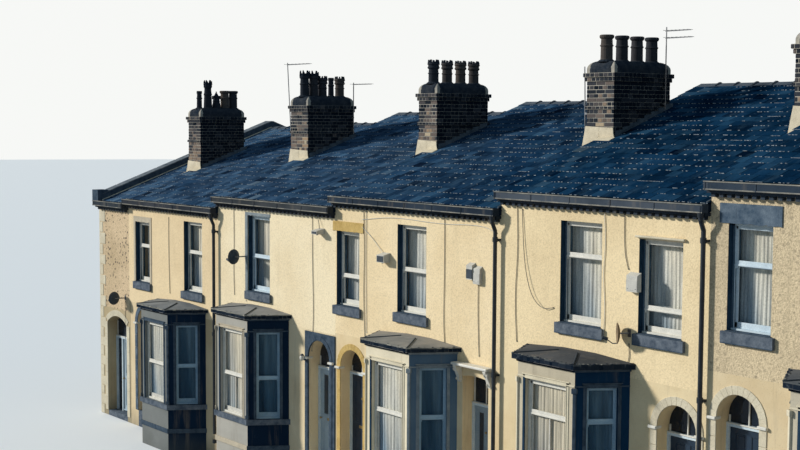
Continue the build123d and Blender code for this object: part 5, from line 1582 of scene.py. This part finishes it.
class TERRACE_OT_stage(bpy.types.Operator):
    """Set up the floor, the lights and the camera"""

    bl_idname = "terrace.stage"
    bl_label = "Stage"

    def execute(self, context):
        scene = context.scene
        scene.view_settings.view_transform = "Standard"
        bm = bmesh.new()
        bmesh.ops.create_circle(bm, cap_ends=True, radius=260, segments=96,
                                matrix=Matrix.Translation((0, 0, -0.003)))
        mesh = bpy.data.meshes.new("floor")
        bm.to_mesh(mesh)
        bm.free()
        pale = bpy.data.materials.new("pale_floor")
        pale.use_nodes = True
        pale.node_tree.nodes["Principled BSDF"].inputs["Roughness"].default_value = 1.0
        rays = pale.node_tree.nodes.new("ShaderNodeLightPath")
        seen = pale.node_tree.nodes.new("ShaderNodeMix")
        seen.data_type = "RGBA"
        seen.inputs[6].default_value = (0.30, 0.32, 0.34, 1)
        seen.inputs[7].default_value = (0.86, 0.87, 0.86, 1)
        pale.node_tree.links.new(rays.outputs["Is Camera Ray"], seen.inputs["Factor"])
        pale.node_tree.links.new(seen.outputs[2],
                                 pale.node_tree.nodes["Principled BSDF"].inputs["Base Color"])
        mesh.materials.append(pale)
        floor = bpy.data.objects.new("floor", mesh)
        scene.collection.objects.link(floor)
        world = bpy.data.worlds.new("studio")
        world.use_nodes = True
        tree = world.node_tree
        fill = tree.nodes["Background"]
        fill.inputs["Color"].default_value = (0.52, 0.76, 1.0, 1)
        fill.inputs["Strength"].default_value = 0.35
        white = tree.nodes.new("ShaderNodeBackground")
        white.inputs["Color"].default_value = (0.93, 0.94, 0.92, 1)
        white.inputs["Strength"].default_value = 1.0
        rays = tree.nodes.new("ShaderNodeLightPath")
        either = tree.nodes.new("ShaderNodeMath")
        either.operation = "MAXIMUM"
        tree.links.new(rays.outputs["Is Camera Ray"], either.inputs[0])
        tree.links.new(rays.outputs["Is Glossy Ray"], either.inputs[1])
        blend = tree.nodes.new("ShaderNodeMixShader")
        tree.links.new(either.outputs[0], blend.inputs[0])
        tree.links.new(fill.outputs[0], blend.inputs[1])
        tree.links.new(white.outputs[0], blend.inputs[2])
        tree.links.new(blend.outputs[0], tree.nodes["World Output"].inputs["Surface"])
        scene.world = world
        key = bpy.data.objects.new("key", bpy.data.lights.new("key", "SUN"))
        key.data.energy = 4.15
        key.data.angle = radians(5)
        key.data.color = (1.0, 0.975, 0.93)
        key.rotation_euler = Vector((0.71, 0.596, -0.375)).to_track_quat("-Z", "Y").to_euler()
        scene.collection.objects.link(key)
        camera = bpy.data.objects.new("camera", bpy.data.cameras.new("camera"))
        camera.data.lens = 60.62
        camera.data.sensor_width = 36
        camera.data.clip_end = 2000
        yaw, pitch, roll = 0.66728, 0.0760946, 0.00534153
        ahead = Vector((-cos(yaw) * cos(pitch), sin(yaw) * cos(pitch), -sin(pitch)))
        across = Vector((sin(yaw), cos(yaw), 0))
        up = across.cross(ahead)
        right = cos(roll) * across + sin(roll) * up
        top = cos(roll) * up - sin(roll) * across
        frame = Matrix((right, top, -ahead)).transposed().to_4x4()
        camera.matrix_world = Matrix.Translation((21.230, -21.433, 8.050)) @ frame
        scene.collection.objects.link(camera)
        scene.camera = camera
        return {"FINISHED"}


class TERRACE_OT_paint(bpy.types.Operator):
    """Give every solid of the frame its finish"""

    bl_idname = "terrace.paint"
    bl_label = "Paint solids"

    def execute(self, context):
        left = {o.name for o in bpy.data.objects if "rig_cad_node" in o}
        for name, nodes in CAD_LOOKS.items():
            for node in nodes:
                mesh = bpy.data.objects[node].data
                if not mesh.materials:
                    mesh.materials.append(None)
                for k in range(len(mesh.materials)):
                    mesh.materials[k] = look(name)
                left.discard(node)
        if left:
            raise RuntimeError(f"no finish for {sorted(left)}")
        return {"FINISHED"}


class TERRACE_OT_slates(bpy.types.Operator):
    """Lay the slates of every slope"""

    bl_idname = "terrace.slates"
    bl_label = "Slates"

    def execute(self, context):
        for i in range(len(HOUSES)):
            lay_slates(i)
        return {"FINISHED"}


class TERRACE_OT_steps(bpy.types.Operator):
    """Point the steps between the roofs"""

    bl_idname = "terrace.steps"
    bl_label = "Roof steps"

    def execute(self, context):
        step_flashings()
        return {"FINISHED"}


class TERRACE_OT_bricks(bpy.types.Operator):
    """Lay the bricks of the stacks"""

    bl_idname = "terrace.bricks"
    bl_label = "Stack bricks"

    def execute(self, context):
        for line in range(1, 6):
            stack_bricks(line)
        return {"FINISHED"}


class TERRACE_OT_aprons(bpy.types.Operator):
    """Dress the lead at the stacks' feet"""

    bl_idname = "terrace.aprons"
    bl_label = "Aprons"

    def execute(self, context):
        aprons()
        return {"FINISHED"}


class TERRACE_OT_pots(bpy.types.Operator):
    """Turn the clay pots and cap the stacks"""

    bl_idname = "terrace.pots"
    bl_label = "Pots"

    def execute(self, context):
        all_pots()
        return {"FINISHED"}


class TERRACE_OT_frames(bpy.types.Operator):
    """Build the sash frames"""

    bl_idname = "terrace.frames"
    bl_label = "Window frames"

    def execute(self, context):
        window_frames()
        return {"FINISHED"}


class TERRACE_OT_curtains(bpy.types.Operator):
    """Hang the curtains on their rods"""

    bl_idname = "terrace.curtains"
    bl_label = "Curtains"

    def execute(self, context):
        curtains()
        return {"FINISHED"}


class TERRACE_OT_window_dressings(bpy.types.Operator):
    """Add lintels, ledges and dark reveal linings of painted shade"""

    bl_idname = "terrace.window_dressings"
    bl_label = "Window dressings"

    def execute(self, context):
        window_dressings()
        return {"FINISHED"}


class TERRACE_OT_door_dressings(bpy.types.Operator):
    """Add the arches, ledges and overlight bars"""

    bl_idname = "terrace.door_dressings"
    bl_label = "Door dressings"

    def execute(self, context):
        door_dressings()
        return {"FINISHED"}


class TERRACE_OT_door_trim(bpy.types.Operator):
    """Add each door's mouldings and furniture"""

    bl_idname = "terrace.door_trim"
    bl_label = "Door trim"

    def execute(self, context):
        for door in DOORS:
            door_trim(door)
        return {"FINISHED"}


class TERRACE_OT_bays(bpy.types.Operator):
    """Add each bay's mouldings and slab edge"""

    bl_idname = "terrace.bays"
    bl_label = "Bays"

    def execute(self, context):
        for house in BAYS:
            bay_trim(house)
        return {"FINISHED"}


class TERRACE_OT_mullions(bpy.types.Operator):
    """Add the slim bars of two bays"""

    bl_idname = "terrace.mullions"
    bl_label = "Bay mullions"

    def execute(self, context):
        bay_mullions()
        return {"FINISHED"}


class TERRACE_OT_eaves(bpy.types.Operator):
    """Add the gutters' lips and brackets"""

    bl_idname = "terrace.eaves"
    bl_label = "Eaves"

    def execute(self, context):
        eaves_trim()
        return {"FINISHED"}


class TERRACE_OT_pipes(bpy.types.Operator):
    """Add the pipes' collars and heads"""

    bl_idname = "terrace.pipes"
    bl_label = "Pipes"

    def execute(self, context):
        pipe_trim()
        return {"FINISHED"}


class TERRACE_OT_wires(bpy.types.Operator):
    """Run the wires on the wall"""

    bl_idname = "terrace.wires"
    bl_label = "Wires"

    def execute(self, context):
        wall_wires()
        return {"FINISHED"}


class TERRACE_OT_fittings(bpy.types.Operator):
    """Finish the boxes, lamps and aerials"""

    bl_idname = "terrace.fittings"
    bl_label = "Fittings"

    def execute(self, context):
        fittings_trim()
        return {"FINISHED"}


class TERRACE_OT_dishes(bpy.types.Operator):
    """Hang the dishes"""

    bl_idname = "terrace.dishes"
    bl_label = "Dishes"

    def execute(self, context):
        dishes()
        return {"FINISHED"}


class TERRACE_OT_quoins(bpy.types.Operator):
    """Add the corner stones and coping stones"""

    bl_idname = "terrace.quoins"
    bl_label = "Quoins"

    def execute(self, context):
        corner_quoins()
        return {"FINISHED"}


OPERATORS = (
    TERRACE_OT_stage, TERRACE_OT_paint, TERRACE_OT_slates, TERRACE_OT_steps, TERRACE_OT_bricks,
    TERRACE_OT_aprons, TERRACE_OT_pots, TERRACE_OT_frames, TERRACE_OT_curtains, TERRACE_OT_window_dressings,
    TERRACE_OT_door_dressings, TERRACE_OT_door_trim, TERRACE_OT_bays, TERRACE_OT_mullions, TERRACE_OT_eaves,
    TERRACE_OT_pipes, TERRACE_OT_wires, TERRACE_OT_fittings, TERRACE_OT_dishes, TERRACE_OT_quoins,
)


class TERRACE_PT_panel(bpy.types.Panel):
    """The row's settings and steps"""

    bl_label = "Terrace"
    bl_idname = "TERRACE_PT_panel"
    bl_space_type = "VIEW_3D"
    bl_region_type = "UI"
    bl_category = "Terrace"

    def draw(self, context):
        for name in ("slate_width", "slate_gauge", "brick_course"):
            self.layout.prop(context.scene.terrace, name)
        for kind in OPERATORS:
            self.layout.operator(kind.bl_idname)


CLASSES = (TerraceSettings, *OPERATORS, TERRACE_PT_panel)


def register():
    for kind in CLASSES:
        bpy.utils.register_class(kind)
    bpy.types.Scene.terrace = bpy.props.PointerProperty(type=TerraceSettings)


def unregister():
    del bpy.types.Scene.terrace
    for kind in reversed(CLASSES):
        bpy.utils.unregister_class(kind)


def main():
    """Loads the frame and runs every step."""
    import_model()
    register()
    for kind in OPERATORS:
        group, name = kind.bl_idname.split(".")
        if getattr(getattr(bpy.ops, group), name)() != {"FINISHED"}:
            raise RuntimeError(f"{kind.bl_label} didn't finish")


if __name__ == "__main__":
    main()
